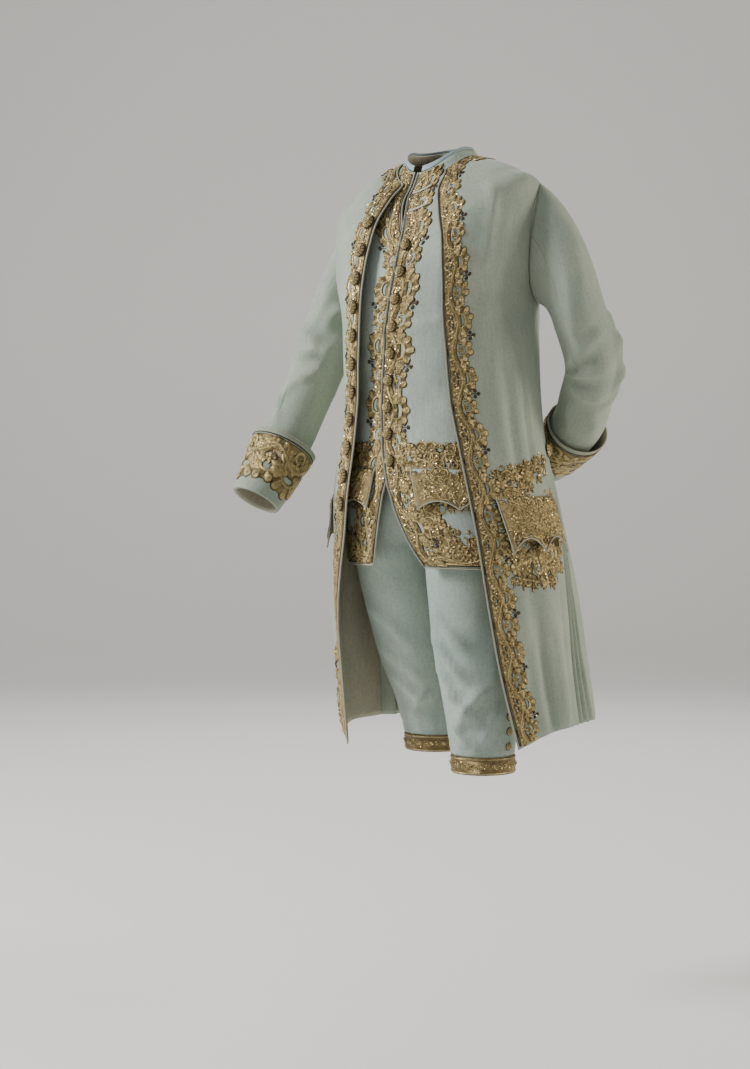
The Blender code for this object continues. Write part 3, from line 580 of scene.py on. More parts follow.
class Lattice:
    """A form read once on a fine lattice, creases and all.

    Cloth and needlework both read it, so that they share one surface.
    """

    def __init__(
        self, form: Form, across: tuple[float, float, int], along: tuple[float, float, int],
        creases: Sequence[Crease] = (),
    ) -> None:
        """Reads the form.

        Args:
            form: The form.
            across: The first number's lowest and highest value, and how many to read.
            along: The same for the second number.
            creases: The creases to press into it.
        """
        self.form = form
        self.low = (across[0], along[0])
        self.step = ((across[1] - across[0]) / (across[2] - 1), (along[1] - along[0]) / (along[2] - 1))
        first, second = np.meshgrid(np.linspace(*across), np.linspace(*along), indexing="ij")
        self.spots = form.points(first, second)
        self.normals = self.outward()
        if creases:
            lift = sum(crease.lift(wrapped(first), second, form.scale) for crease in creases)
            self.spots = self.spots + self.normals * CREASE_DEPTH * lift[..., None]
            self.normals = self.outward()

    def outward(self) -> Array:
        """The outward direction at each point of the lattice."""
        sideways, down = np.gradient(self.spots, axis=(0, 1))
        return unit(np.cross(down, sideways)) * self.form.turned

    def at(self, across: Any, along: Any, lift: Any = 0.0) -> Array:
        """Points on the surface, or standing off it.

        Args:
            across: The first number, an angle or turn that may run past 180.
            along: The second number.
            lift: How far each point stands off, in metres.

        Returns:
            The points.
        """
        across, along, lift = np.broadcast_arrays(wrapped(across), np.asarray(along, float), lift)
        size = self.spots.shape
        spot = np.clip((across - self.low[0]) / self.step[0], 0.0, size[0] - 1.001)
        line = np.clip((along - self.low[1]) / self.step[1], 0.0, size[1] - 1.001)
        i, j = spot.astype(int), line.astype(int)
        x, y = (spot - i)[..., None], (line - j)[..., None]

        def read(grid: Array) -> Array:
            """Reads a grid between its four nearest points.

            Args:
                grid: The grid.

            Returns:
                The values at the points asked for.
            """
            near = grid[i, j] * (1 - x) + grid[i + 1, j] * x
            far = grid[i, j + 1] * (1 - x) + grid[i + 1, j + 1] * x
            return near * (1 - y) + far * y

        return read(self.spots) + unit(read(self.normals)) * lift[..., None]

    def span(self, across: Any, along: Any) -> Array:
        """How many metres one unit of the first number makes."""
        across = np.asarray(across, float)
        return np.linalg.norm(self.at(across + 0.5, along) - self.at(across - 0.5, along), axis=-1)


@dataclass(frozen=True)
class Cut:
    """The flat size that a sheet was cut to: its widest row, its longest column and its area, in metres."""

    width: float
    length: float
    area: float

    @classmethod
    def of(cls, grid: Array) -> "Cut":
        """Lays a grid of points flat.

        Args:
            grid: The points, as rows of columns.

        Returns:
            The cut.
        """
        rows, columns = (np.linalg.norm(np.diff(grid, axis=axis), axis=2) for axis in (1, 0))
        squares = np.cross(grid[1:, 1:] - grid[:-1, :-1], grid[1:, :-1] - grid[:-1, 1:])
        width, length = float(rows.sum(axis=1).max()), float(columns.sum(axis=0).max())
        area = float(np.linalg.norm(squares, axis=2).sum() / 2.0)
        return cls(width, length, min(area, width * length))


def piece(
    name: str, points: Array, faces: Sequence[Sequence[int]], looks: Sequence[Material], uvs: Array,
    face_looks: Sequence[int] | None = None, thread: Array | None = None, recalculate: bool = True,
) -> Object:
    """Makes one object from points and faces.

    Args:
        name: Its name.
        points: Its points.
        faces: Its faces, as point numbers.
        looks: Its materials.
        uvs: Two numbers for each point, in metres, that the materials read.
        face_looks: Which material each face has.
        thread: Two numbers for each point: how near the element's rim it is, and its tone.
        recalculate: Whether the faces are turned to point outwards.

    Returns:
        The object, linked and shaded smooth.
    """
    mesh = bpy.data.meshes.new(name)
    mesh.from_pydata(points.tolist(), [], faces)
    corners = np.empty(len(mesh.loops), int)
    mesh.loops.foreach_get("vertex_index", corners)
    mesh.uv_layers.new(name="cloth").data.foreach_set("uv", uvs[corners].astype(np.float32).ravel())
    if thread is not None:
        for number, word in enumerate(("rim", "tone")):
            values = thread[:, number].astype(np.float32)
            mesh.attributes.new(word, "FLOAT", "POINT").data.foreach_set("value", values)
    if face_looks is not None:
        mesh.polygons.foreach_set("material_index", np.asarray(face_looks, np.int32))
    for look in looks:
        mesh.materials.append(look)
    if recalculate:
        work = bmesh.new()
        work.from_mesh(mesh)
        bmesh.ops.recalc_face_normals(work, faces=work.faces)
        work.to_mesh(mesh)
        work.free()
    mesh.shade_smooth()
    mesh.update()
    made = bpy.data.objects.new(name, mesh)
    bpy.context.scene.collection.objects.link(made)
    return made


def stand(
    made: Object, nodes: Sequence[str] = (), cut: Cut | None = None
) -> None:
    """Puts a piece into the model, and logs its points unless it is a sheet of cloth.

    Args:
        made: The piece.
        nodes: The solids that it stands for.
        cut: Its flat size, if it is a sheet of cloth; a sheet is not logged.
    """
    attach(made, BODY)
    if nodes:
        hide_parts(*nodes)
    if cut is not None:
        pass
    else:
        log.info("%s: %d points", made.name, len(made.data.vertices))


def grid_faces(rows: int, columns: int, closed: bool = False, start: int = 0) -> list[tuple[int, ...]]:
    """The squares of a grid of points.

    Args:
        rows: How many rows of points.
        columns: How many columns of points.
        closed: Whether the last column joins the first.
        start: The first point's number.

    Returns:
        The faces.
    """
    row, column = np.meshgrid(np.arange(rows - 1), np.arange(columns if closed else columns - 1), indexing="ij")
    after, above, below = (column + 1) % columns, row * columns, (row + 1) * columns
    corners = (above + column, above + after, below + after, below + column)
    return (np.stack([corner.ravel() for corner in corners], axis=1) + start).tolist()


def dome_faces(rings: int, sides: int) -> list[tuple[int, ...]]:
    """The squares between a dome's rings, and the triangles round its top, which is its last point."""
    top, last = [rings * sides], (rings - 1) * sides
    return grid_faces(rings, sides, closed=True) + [(last + a, last + (a + 1) % sides, *top) for a in range(sides)]


@dataclass(frozen=True)
class Edges:
    """How far each edge of a panel rolls under: a sewn edge less than a turned one, in metres."""

    first: float = 0.0008
    last: float = 0.0008
    top: float = 0.0006
    bottom: float = 0.0006
    reach: float = 0.0045

    def roll(self, distance: Array, depth: float) -> Array:
        """How far cloth at this distance from an edge lies under its face."""
        return depth * (1.0 - smooth(distance / self.reach)) ** 1.5


def cloth(
    name: str, lattice: Lattice, rows: Sequence[Array], columns: int, looks: Sequence[Material],
    lift: float = 0.0, thickness: float = CLOTH, edges: Edges = Edges(),
) -> None:
    """Makes a panel of cloth with two faces and rolled edges.

    Args:
        name: The piece's name: its solid's, and one word more.
        lattice: The surface that it lies on.
        rows: The second number of each row, and the first number at its start and at its end.
        columns: How many even columns each row has between its edges.
        looks: The outer cloth and what its inner face shows.
        lift: How far the outer face stands off the surface.
        thickness: How thick the cloth is.
        edges: How its edges roll under.
    """
    along, first, last = np.broadcast_arrays(*rows)
    width = np.maximum(np.abs(last - first) * lattice.span((first + last) / 2.0, along), 0.02)[:, None]
    # Columns crowd at each edge, where the cloth rolls, and are even from 7 mm inside it.
    near = np.array([[0.0, 0.0014, 0.0036]])
    even = 0.007 / width + (1.0 - 0.014 / width) * np.linspace(0.0, 1.0, columns)[None, :]
    shares = np.hstack([near / width, even, (1.0 - near / width)[:, ::-1]])
    across = first[:, None] + (last - first)[:, None] * shares
    line = np.broadcast_to(along[:, None], across.shape)
    run = np.linalg.norm(np.diff(lattice.at(across, line, lift), axis=0), axis=2).mean(axis=1)
    down = np.concatenate([[0.0], np.cumsum(run)])[:, None]
    roll = edges.roll(down, edges.top) + edges.roll(down[-1] - down, edges.bottom)
    roll = roll + edges.roll(shares * width, edges.first) + edges.roll((1.0 - shares) * width, edges.last)
    roll = np.minimum(roll, thickness * 0.45)
    outer, inner = lattice.at(across, line, lift - roll), lattice.at(across, line, lift - thickness + roll * 0.3)
    uv = np.stack(np.broadcast_arrays((shares - 0.5) * width.mean(), down), axis=-1)
    shell(name, outer, inner, looks, uv)


def shell(
    name: str, outer: Array, inner: Array, looks: Sequence[Material],
    uv: Array | None = None, closed: bool = False,
) -> None:
    """Makes cloth from a grid of points for each of its faces.

    Args:
        name: The piece's name: its solid's, and one word more.
        outer: The outer face's points, as rows of columns.
        inner: The inner face's points.
        looks: The outer cloth and what its inner face shows.
        uv: Two numbers for each point, or None to measure them.
        closed: Whether the last column joins the first.
    """
    count, wide = outer.shape[:2]
    if uv is None:
        runs = [np.linalg.norm(np.diff(outer, axis=1 - axis), axis=2).mean(axis=axis) for axis in (0, 1)]
        uv = np.stack(np.meshgrid(*(np.concatenate([[0.0], np.cumsum(run)]) for run in runs)), axis=-1)
    faces = grid_faces(count, wide, closed)
    faces += [face[::-1] for face in grid_faces(count, wide, closed, count * wide)]
    inside = len(faces) // 2
    rims = [[(row, column) for column in range(wide)] + [(row, 0)] * closed for row in (0, count - 1)]
    if not closed:
        rims += [[(row, column) for row in range(count)] for column in (0, wide - 1)]
    for rim in rims:
        for (row, column), (next_row, next_column) in zip(rim, rim[1:]):
            a, b = row * wide + column, next_row * wide + next_column
            faces.append((a, b, b + count * wide, a + count * wide))
    looks_of = [0] * inside + [len(looks) - 1] * inside + [0] * (len(faces) - 2 * inside)
    points = np.concatenate([outer.reshape(-1, 3), inner.reshape(-1, 3)])
    made = piece(name, points, faces, looks, np.tile(uv.reshape(-1, 2), (2, 1)), looks_of)
    cut = Cut.of(np.concatenate([outer, outer[:, :1]], axis=1) if closed else outer)
    stand(made, [name.rpartition("_")[0]], cut)


def tube(path: Array, radius: float, sides: int = 6) -> tuple[Array, list[tuple[int, ...]], Array]:
    """A round cord along a path, with its ends closed.

    Args:
        path: The points of its middle.
        radius: Its radius.
        sides: How many sides it has.

    Returns:
        Its points, its faces and the two numbers that its material reads.
    """
    ahead = unit(np.gradient(path, axis=0))
    aside = [unit(np.cross(ahead[0], (0.31, 0.17, 0.93)))]
    for way in ahead[1:]:
        aside.append(unit(aside[-1] - way * (aside[-1] @ way)))
    over = np.cross(ahead, aside)
    turns = circle(sides)
    ring = np.array(aside)[:, None] * np.cos(turns)[None, :, None] + over[:, None] * np.sin(turns)[None, :, None]
    faces = grid_faces(len(path), sides, closed=True)
    faces += [tuple(range(sides))[::-1], tuple(range((len(path) - 1) * sides, len(path) * sides))]
    uv = np.stack([np.repeat(along_path(path), sides), np.tile(turns * radius, len(path))], axis=-1)
    return (path[:, None] + ring * radius).reshape(-1, 3), faces, uv


# Finishes


def linear(colour: str) -> tuple[float, float, float, float]:
    """An sRGB hex colour in linear light.

    Args:
        colour: Six hex digits after a #.

    Returns:
        Red, green, blue and an alpha of 1.
    """
    parts = [int(colour[place : place + 2], 16) / 255.0 for place in (1, 3, 5)]
    red, green, blue = (p / 12.92 if p <= 0.04045 else ((p + 0.055) / 1.055) ** 2.4 for p in parts)
    return red, green, blue, 1.0


def add_node(
    tree: NodeTree, kind: str, settings: dict[Any, Any] | None = None,
    links: dict[Any, bpy.types.NodeSocket] | None = None,
) -> bpy.types.Node:
    """Adds a node with its settings and its links.

    Args:
        tree: The tree to add it to.
        kind: The node's type, after ShaderNode.
        settings: Attributes, and values of inputs, by name or number.
        links: The sockets that feed its inputs, by the input's name or number.

    Returns:
        The node.
    """
    node = tree.nodes.new(f"ShaderNode{kind}")
    for name, value in (settings or {}).items():
        if isinstance(name, int) or name in node.inputs:
            node.inputs[name].default_value = value
        else:
            setattr(node, name, value)
    for name, source in (links or {}).items():
        tree.links.new(source, node.inputs[name])
    return node


@dataclass(frozen=True)
class Finish:
    """A real material, as the maker would name it."""

    name: str = "cloth"

    def build(self) -> Material:
        """Makes the Blender material: its fixed values stand on the shader, and the rest comes by links.

        Returns:
            The material.
        """
        made = bpy.data.materials.new(self.name)
        made.use_nodes = True
        shader = next(node for node in made.node_tree.nodes if node.type == "BSDF_PRINCIPLED")
        for name, value in self.dress(made.node_tree).items():
            if isinstance(value, bpy.types.NodeSocket):
                made.node_tree.links.new(value, shader.inputs[name])
            else:
                shader.inputs[name].default_value = value
        return made

    def dress(self, tree: NodeTree) -> dict[str, Any]:
        """What feeds each of the shader's inputs: a value or a socket. Each finish has its own."""
        raise NotImplementedError


@dataclass(frozen=True)
class WovenCloth(Finish):
    """A woven cloth with two sets of threads, seen matt with a soft bloom at its edges.

    Attributes:
        colour: The cloth's colour.
        faded: Its colour where rubbing and light have worn it.
        soiled: Its colour in scattered specks of dust.
        thread: The spacing of its threads, in metres.
        nap: How deep its nap and weave stand, in metres.
        roughness: How matt it is.
        sheen: How much its surface fibres catch the light.
        bloom: The colour of that light.
        slub: How much thicker threads show, from 0 to 1.
    """

    colour: str = "#9FB0AB"
    faded: str = "#B4BFB4"
    soiled: str = "#84948C"
    thread: float = 0.0011
    nap: float = 0.0003
    roughness: float = 0.86
    sheen: float = 0.3
    bloom: str = "#DDE5DC"
    slub: float = 0.5

    def dress(self, tree: NodeTree) -> dict[str, Any]:
        """Draws worn patches, specks of dust, slubs and a plain weave.

        Args:
            tree: The material's nodes.

        Returns:
            What feeds the shader.
        """
        coordinates = add_node(tree, "TexCoord").outputs
        place, solid = {"Vector": coordinates["UV"]}, {"Vector": coordinates["Object"]}
        # Worn patches are about 110 mm across, specks of dust 4 mm, and slubs 2 mm by 45 mm.
        patches = add_node(tree, "TexNoise", {"Scale": 9.0, "Detail": 4.0, "Roughness": 0.6}, solid).outputs["Fac"]
        specks = add_node(tree, "TexNoise", {"Scale": 240.0, "Detail": 3.0}, solid).outputs["Fac"]
        drawn = add_node(tree, "Mapping", {"Scale": (520.0, 22.0, 1.0)}, place).outputs[0]
        streaks = add_node(tree, "TexNoise", {"Scale": 1.0, "Detail": 2.0}, {"Vector": drawn}).outputs["Fac"]
        fade = add_node(tree, "MapRange", {"From Min": 0.4, "From Max": 0.68, "To Max": 0.75}, {"Value": patches})
        blend = {"data_type": "RGBA", 6: linear(self.colour), 7: linear(self.faded)}
        worn = add_node(tree, "Mix", blend, {0: fade.outputs[0]})
        dull = add_node(tree, "MapRange", {"From Min": 0.45, "From Max": 0.75, "To Max": 0.45}, {"Value": specks})
        blend = {"data_type": "RGBA", 7: linear(self.soiled)}
        dusty = add_node(tree, "Mix", blend, {0: dull.outputs[0], 6: worn.outputs[2]})
        low, high = 1.0 - 0.16 * self.slub, 1.0 + 0.1 * self.slub
        reach = {"From Min": 0.38, "From Max": 0.62, "To Min": low, "To Max": high}
        line = add_node(tree, "MapRange", reach, {"Value": streaks})
        shade = add_node(tree, "VectorMath", {"operation": "SCALE"}, {0: dusty.outputs[2], 3: line.outputs[0]})
        reach = {"To Min": self.roughness - 0.06, "To Max": self.roughness + 0.06}
        gloss = add_node(tree, "MapRange", reach, {"Value": specks})
        bands = {"Scale": BAND / self.thread, "Distortion": 1.2, "Detail": 1.0, "Detail Scale": 2.0}
        weft, warp = (
            add_node(tree, "TexWave", {"bands_direction": way, **bands}, place).outputs["Fac"] for way in ("X", "Y")
        )
        weave = add_node(tree, "Math", {"operation": "MAXIMUM"}, {0: weft, 1: warp})
        relief = add_node(tree, "Math", {"operation": "MULTIPLY_ADD", 1: 0.6}, {0: weave.outputs[0], 2: specks})
        mixed = {"operation": "MULTIPLY_ADD", 1: 0.9 * self.slub}
        raised = add_node(tree, "Math", mixed, {0: streaks, 2: relief.outputs[0]})
        bump = add_node(tree, "Bump", {"Distance": self.nap, "Strength": 0.8}, {"Height": raised.outputs[0]})
        return {
            "Base Color": shade.outputs[0], "Roughness": gloss.outputs[0], "Normal": bump.outputs[0],
            "Sheen Weight": self.sheen, "Sheen Roughness": 0.45, "Sheen Tint": linear(self.bloom), "IOR": 1.5,
            "Specular IOR Level": 0.35,
        }


# Fulled wool broadcloth, dyed celadon: matt, with a short nap that greys the colour at the edges.
COAT_WOOL = WovenCloth("celadon_wool_broadcloth", "#9AA597", "#AFB7A5", "#828C7D", slub=0.35)
# Plain-woven silk in the same dye: smoother, so its folds carry a clearer light.
WAISTCOAT_SILK = WovenCloth(
    "celadon_silk", "#9CA8A0", "#B2BDB1", "#828F87", roughness=0.62, sheen=0.18, slub=0.6, nap=0.00018
)
# The breeches' cloth, less faded than the coat's, because the coat covered it.
BREECHES_WOOL = WovenCloth("celadon_breeches_wool", "#96A69D", "#ADB9AE", "#78877E", roughness=0.56, slub=0.4)
# Ivory silk taffeta lining, greyed with age: thin and crisp, with fine cross ribs.
LINING_SILK = WovenCloth(
    "ivory_silk_lining", "#A4A08D", "#BAB6A3", "#7E7A69", 0.0009, 0.00012, 0.5, 0.12, "#EDE6D6", 0.5
)
# Unbleached plain linen, as the back of a waistcoat was cut from: coarser thread, wholly matt.
BACK_LINEN = WovenCloth(
    "unbleached_linen", "#B9B19C", "#C9C2AE", "#978E78", 0.0014, 0.00035, 0.92, 0.1, "#E9E2D2", 0.8
)
# Pale blue-grey silk facing inside the neck.
FACING_SILK = WovenCloth("blue_grey_silk", "#8FA0A4", "#A5B2B3", "#6F7F82", 0.0009, 0.00012, 0.5, 0.15)


@dataclass(frozen=True)
class SpunThread(Finish):
    """Thread wound or laid side by side, in raised work or a cord.

    Attributes:
        colour: The thread's colour where it lies high, painted as lit.
        deep: Its colour in the furrows, which is partly tarnish and partly painted shade.
        rim: Its colour at each element's rim: partly a couched outline, partly painted shade where it meets other
            work.
        metallic: How far it is metal, from 0 to 1.
        roughness: How rough it is.
        pitch: The spacing of the threads, in metres.
        slant: How far the threads slant across the element, in degrees.
        depth: How deep the furrows are, in metres.
    """

    colour: str = "#E6D196"
    deep: str = "#786848"
    rim: str = "#3A3021"
    metallic: float = 0.75
    roughness: float = 0.38
    pitch: float = 0.0009
    slant: float = 55.0
    depth: float = 0.00035

    def dress(self, tree: NodeTree) -> dict[str, Any]:
        """Draws furrows painted darker as shade, tarnish, and dark rims of outline and painted shade.

        Args:
            tree: The material's nodes.

        Returns:
            What feeds the shader.
        """
        coordinates = add_node(tree, "TexCoord").outputs
        words = ("rim", "tone")
        rim, tone = (add_node(tree, "Attribute", {"attribute_name": word}).outputs["Fac"] for word in words)
        slant = (0.0, 0.0, math.radians(self.slant))
        turned = add_node(tree, "Mapping", {"Rotation": slant}, {"Vector": coordinates["UV"]})
        # The real threads are 0.3 mm apart. They are drawn wider, so that they show.
        bands = {"Scale": BAND / self.pitch, "Distortion": 1.5, "Detail": 1.0}
        wound = add_node(tree, "TexWave", bands, {"Vector": turned.outputs[0]}).outputs["Fac"]
        # Tarnish gathers in patches about 17 mm across.
        patches = {"Scale": 60.0, "Detail": 4.0, "Roughness": 0.65}
        tarnish = add_node(tree, "TexNoise", patches, {"Vector": coordinates["Object"]}).outputs["Fac"]
        # The wound bands paint the furrows between the threads darker, as painted shade, on top of the tarnish.
        high = add_node(tree, "Math", {"operation": "MULTIPLY"}, {0: wound, 1: tone})
        untarnished_and_lit = add_node(tree, "Math", {"operation": "MULTIPLY_ADD", 1: 0.6}, {0: tarnish, 2: high.outputs[0]})
        bright = add_node(tree, "MapRange", {"From Min": 0.25, "From Max": 1.05}, {"Value": untarnished_and_lit.outputs[0]})
        blend = {"data_type": "RGBA", 6: linear(self.deep), 7: linear(self.colour)}
        body = add_node(tree, "Mix", blend, {0: bright.outputs[0]})
        # Dark rims: partly a couched outline, partly painted shade where elements meet.
        edge = add_node(tree, "MapRange", {"From Min": 0.56, "From Max": 0.84, "To Max": 0.94}, {"Value": rim})
        blend = {"data_type": "RGBA", 7: linear(self.rim)}
        whole = add_node(tree, "Mix", blend, {0: edge.outputs[0], 6: body.outputs[2]})
        reach = {"From Min": 0.3, "From Max": 0.7, "To Min": self.roughness - 0.08, "To Max": self.roughness + 0.18}
        gloss = add_node(tree, "MapRange", reach, {"Value": tarnish})
        bump = add_node(tree, "Bump", {"Distance": self.depth, "Strength": 0.9}, {"Height": wound})
        return {
            "Base Color": whole.outputs[2], "Roughness": gloss.outputs[0], "Normal": bump.outputs[0],
            "Metallic": self.metallic,
        }


# Silver-gilt thread over padding, tarnished brown in its furrows, which are also painted darker as shade.
GILT = SpunThread("silver_gilt_thread")
# Silver-gilt purl, a fine coiled wire cut in lengths: brighter and coarser than laid thread.
PURL = SpunThread("silver_gilt_purl", "#D9C795", "#80704C", "#463A27", 0.85, 0.32, 0.0011, 80.0, 0.00045)
# Brown chenille and tarnished thread, couched as outlines and sprigs: soft and dark.
CHENILLE = SpunThread("brown_chenille", "#5C4A33", "#38291B", "#2A2017", 0.15, 0.7, 0.001, 70.0, 0.0003)
# Pale silk cord on the garments' edges, twisted of two strands.
EDGE_CORD = SpunThread("pale_silk_cord", "#D6D4C6", "#A7A590", "#98967F", 0.0, 0.55, 0.0018, 50.0, 0.0004)


@dataclass(frozen=True)
class Spangle(Finish):
    """A round stamped and gilt disc, polished by wear, so that it glints from a few sides."""

    name: str = "gilt_spangle"
    colour: str = "#E2CC98"
    tarnished: str = "#A2854E"
    roughness: float = 0.24

    def dress(self, tree: NodeTree) -> dict[str, Any]:
        """Draws patches of tarnish about 11 mm across.

        Args:
            tree: The material's nodes.

        Returns:
            What feeds the shader.
        """
        solid = {"Vector": add_node(tree, "TexCoord").outputs["Object"]}
        patches = add_node(tree, "TexNoise", {"Scale": 90.0, "Detail": 3.0}, solid).outputs["Fac"]
        worn = add_node(tree, "MapRange", {"From Min": 0.4, "From Max": 0.62}, {"Value": patches})
        blend = {"data_type": "RGBA", 6: linear(self.tarnished), 7: linear(self.colour)}
        mixed = add_node(tree, "Mix", blend, {0: worn.outputs[0]})
        bump = add_node(tree, "Bump", {"Distance": 0.0001, "Strength": 0.3}, {"Height": patches})
        return {
            "Base Color": mixed.outputs[2], "Normal": bump.outputs[0], "Metallic": 1.0, "Roughness": self.roughness,
        }


@dataclass(frozen=True)
class Paint(Finish):
    """Matt paint, rolled on the studio's floor: it gives no gleam."""

    name: str = "painted_studio_floor"
    colour: str = "#E8E7E3"

    def dress(self, tree: NodeTree) -> dict[str, Any]:
        """An even colour."""
        return {"Base Color": linear(self.colour), "Roughness": 0.85}


@dataclass
class Looks:
    """Every finish of the suit, made once."""

    wool: Material = field(default_factory=COAT_WOOL.build)
    silk: Material = field(default_factory=WAISTCOAT_SILK.build)
    breeches: Material = field(default_factory=BREECHES_WOOL.build)
    lining: Material = field(default_factory=LINING_SILK.build)
    linen: Material = field(default_factory=BACK_LINEN.build)
    facing: Material = field(default_factory=FACING_SILK.build)
    gilt: Material = field(default_factory=GILT.build)
    purl: Material = field(default_factory=PURL.build)
    chenille: Material = field(default_factory=CHENILLE.build)
    cord: Material = field(default_factory=EDGE_CORD.build)
    spangle: Material = field(default_factory=Spangle().build)

    def threads(self) -> list[Material]:
        """The needlework's materials, in the order of Thread."""
        return [self.gilt, self.purl, self.chenille, self.cord, self.spangle]


# The garments

COAT_CREASES = creases(
    # From the armhole down the left front, where the sleeve pulls the cloth.
    (62, 3.2, 57, 5.6, 10, 4, 6), (68, 4.6, 54, 7.2, 12, 3.2, -6), (71, 5.9, 62, 8, 9, 2.8, 4),
    (75, 6.4, 77, 8.6, 10, 2.4),
    # Falls from the waist to the pocket.
    (66, 7.3, 70, 9.7, 11, 4.5, 4), (78, 7, 82, 9.9, 13, 5, -5), (90, 7.1, 93, 9.8, 10, 4.2, 3),
    (72.5, 7.8, 75.5, 9.8, 8, -2.6), (86, 7.6, 88, 9.9, 8, -2.8),
    # Soft hangs in the left skirt.
    (66, 11.5, 71, 14.2, 14, 5, 4), (80, 11.3, 83, 14.2, 16, 5.6, -6), (92, 11, 91, 14.2, 12, 4.6),
    (60, 12.4, 62.5, 14.2, 10, 3.4), (70.5, 12.3, 73, 14.2, 6, 2.6), (76, 12, 78.5, 14.2, 6, -3, 3),
    (86.5, 11.9, 86, 14.2, 7, 3.2), (97, 11.6, 96, 14.2, 8, -3.2),
    # The right front, turned away from the light.
    (-62, 3.2, -52, 6.2, 11, 3.8, -6), (-69, 4.8, -56, 7.4, 10, 3, 5), (-72, 7, -76, 9.6, 12, 4.4, 4),
    (-86, 7.1, -90, 9.8, 11, 4, -4), (-58, 11.4, -64, 14.2, 14, 4.8, 5), (-78, 11, -80, 14.2, 13, 4.4, -4),
    # Across the back, from the armholes and down to the vent.
    (126, 4.4, 146, 6.6, 12, 3.6, 6), (128, 6, 150, 8, 10, 3, -5), (-125, 4.3, -148, 6.4, 12, 3.6, -6),
    (-127, 5.8, -152, 7.9, 10, 2.8, 5), (140, 7.6, 143, 10.4, 12, 3.6, 4), (-139, 7.5, -144, 10.6, 12, 3.8, -4),
    (162, 8.3, 165, 11.8, 10, 3), (-160, 8.2, -166, 11.6, 10, 3), (134, 11, 136, 14.2, 16, 5.4, 6),
    (152, 11.4, 157, 14.2, 14, 4.6, -4), (-133, 11.2, -136, 14.2, 16, 5.2, -6),
    (-152, 11, -158, 14.2, 13, 4.4, 4),
)
WAISTCOAT_CREASES = creases(
    (16, 6.9, 33, 7.5, 7, 1.6, 4), (18, 8.2, 34, 7.9, 7, -1.4, -3), (30, 4.2, 38, 6.8, 9, 1.8, 3),
    (-12, 7, -26, 7.7, 7, -1.4, 3), (-18, 5, -24, 7, 8, 1.2), (150, 6, -155, 6.5, 10, 1.6),
    (135, 7.6, 170, 7.9, 10, 1.8, 6), (-135, 7.4, -172, 8, 10, 1.6, -6),
)
SLEEVE_CREASES = {
    Side.LEFT: creases(
        # Rays from the inside of the bend, where the sleeve turns back.
        (128, 1.92, 10, 1.35, 8.5, 5.2, 6), (126, 2.1, 0, 1.95, 8, 6, 4), (124, 2.28, 8, 2.52, 8.5, 4.8, -5),
        (118, 2.02, 34, 1.66, 6, -3.4, 4), (116, 2.2, 36, 2.26, 6, -3.6), (-34, 1, -20, 1.9, 9, 4.8, 5),
        (-44, 1.7, -14, 2.5, 8, 5, -4), (-60, 1.45, -8, 1.75, 6, 4.2, 3), (-64, 2.05, -10, 2.22, 5.5, 4.4, -3),
        (-50, 2.35, 4, 2.75, 6, 3.8, 3), (84, 0.7, 64, 1.7, 10, 4, -4), (60, 0.5, 92, 1.5, 10, 3.4, 5),
        (20, 0.4, 46, 1.2, 11, 2.6, -4), (40, 2.9, 14, 3.6, 9, 3, 4), (90, 2.8, 66, 3.7, 8, 3.4, -3),
        (-140, 1.4, -90, 2.1, 9, 4, 4), (-150, 2.2, -84, 2.6, 8, 3.4),
    ),
    Side.RIGHT: creases(
        (118, 1.95, 30, 1.55, 8.5, 4.6, 5), (120, 2.15, 26, 2.2, 8.5, 5.2, -4),
        (122, 1.75, -160, 1.35, 8.5, 4, 4), (96, 2.05, 50, 1.9, 6, -3), (150, 0.7, 118, 1.5, 9.5, 4, 5),
        (96, 0.5, 86, 1.5, 10, 3.4, -4), (58, 0.6, 66, 1.6, 9, 2.6), (146, 2.3, 104, 2.9, 8.5, 3.8, -4),
        (110, 2.7, 74, 3.5, 8.5, 3.4, 4), (60, 3.1, 96, 3.9, 8, 2.6), (-30, 1.2, -56, 2.1, 9, 4, 4),
        (-120, 2.4, -60, 2.8, 8.5, 3.4), (170, 1.5, 130, 2.1, 8, 3.4),
    ),
}
LEG_CREASES = {
    Side.LEFT: creases(
        (117, 0.735, 62, 0.655, 9.8, 7.7, 6), (120, 0.69, 70, 0.6, 8.6, 7.6, 5),
        (118, 0.64, 84, 0.56, 8.1, 7, 4), (108, 0.7, 74, 0.632, 6.9, -4.9, 4),
        (112, 0.646, 82, 0.588, 6.3, -4.6), (116, 0.585, 60, 0.528, 7.5, 5.8, -4),
        (40, 0.59, 96, 0.508, 7.5, 6.6, 4), (20, 0.56, 52, 0.488, 6.9, 4.9), (110, 0.535, 76, 0.486, 5.8, 4.2),
        (10, 0.72, 26, 0.56, 10.3, 4.2, 4), (-60, 0.6, -110, 0.52, 9.2, 6.5, 4),
        (-50, 0.54, -120, 0.5, 8.1, 5.5), (-70, 0.76, -110, 0.7, 11.5, 5.8, 6),
    ),
    Side.RIGHT: creases(
        (60, 0.72, 120, 0.64, 9.2, 5.8, 5), (56, 0.65, 124, 0.575, 8.1, 5.8, -4),
        (60, 0.59, 116, 0.53, 7.5, 5.2, 4), (76, 0.62, 112, 0.58, 5.8, -3.9), (130, 0.56, 86, 0.5, 6.9, 4.9),
        (14, 0.7, 30, 0.56, 10.3, 4.2), (-60, 0.61, -116, 0.53, 9.2, 6.5, 4), (-64, 0.55, -112, 0.5, 8.1, 5.5),
        (-70, 0.75, -104, 0.69, 11.5, 5.8, -6),
    ),
}


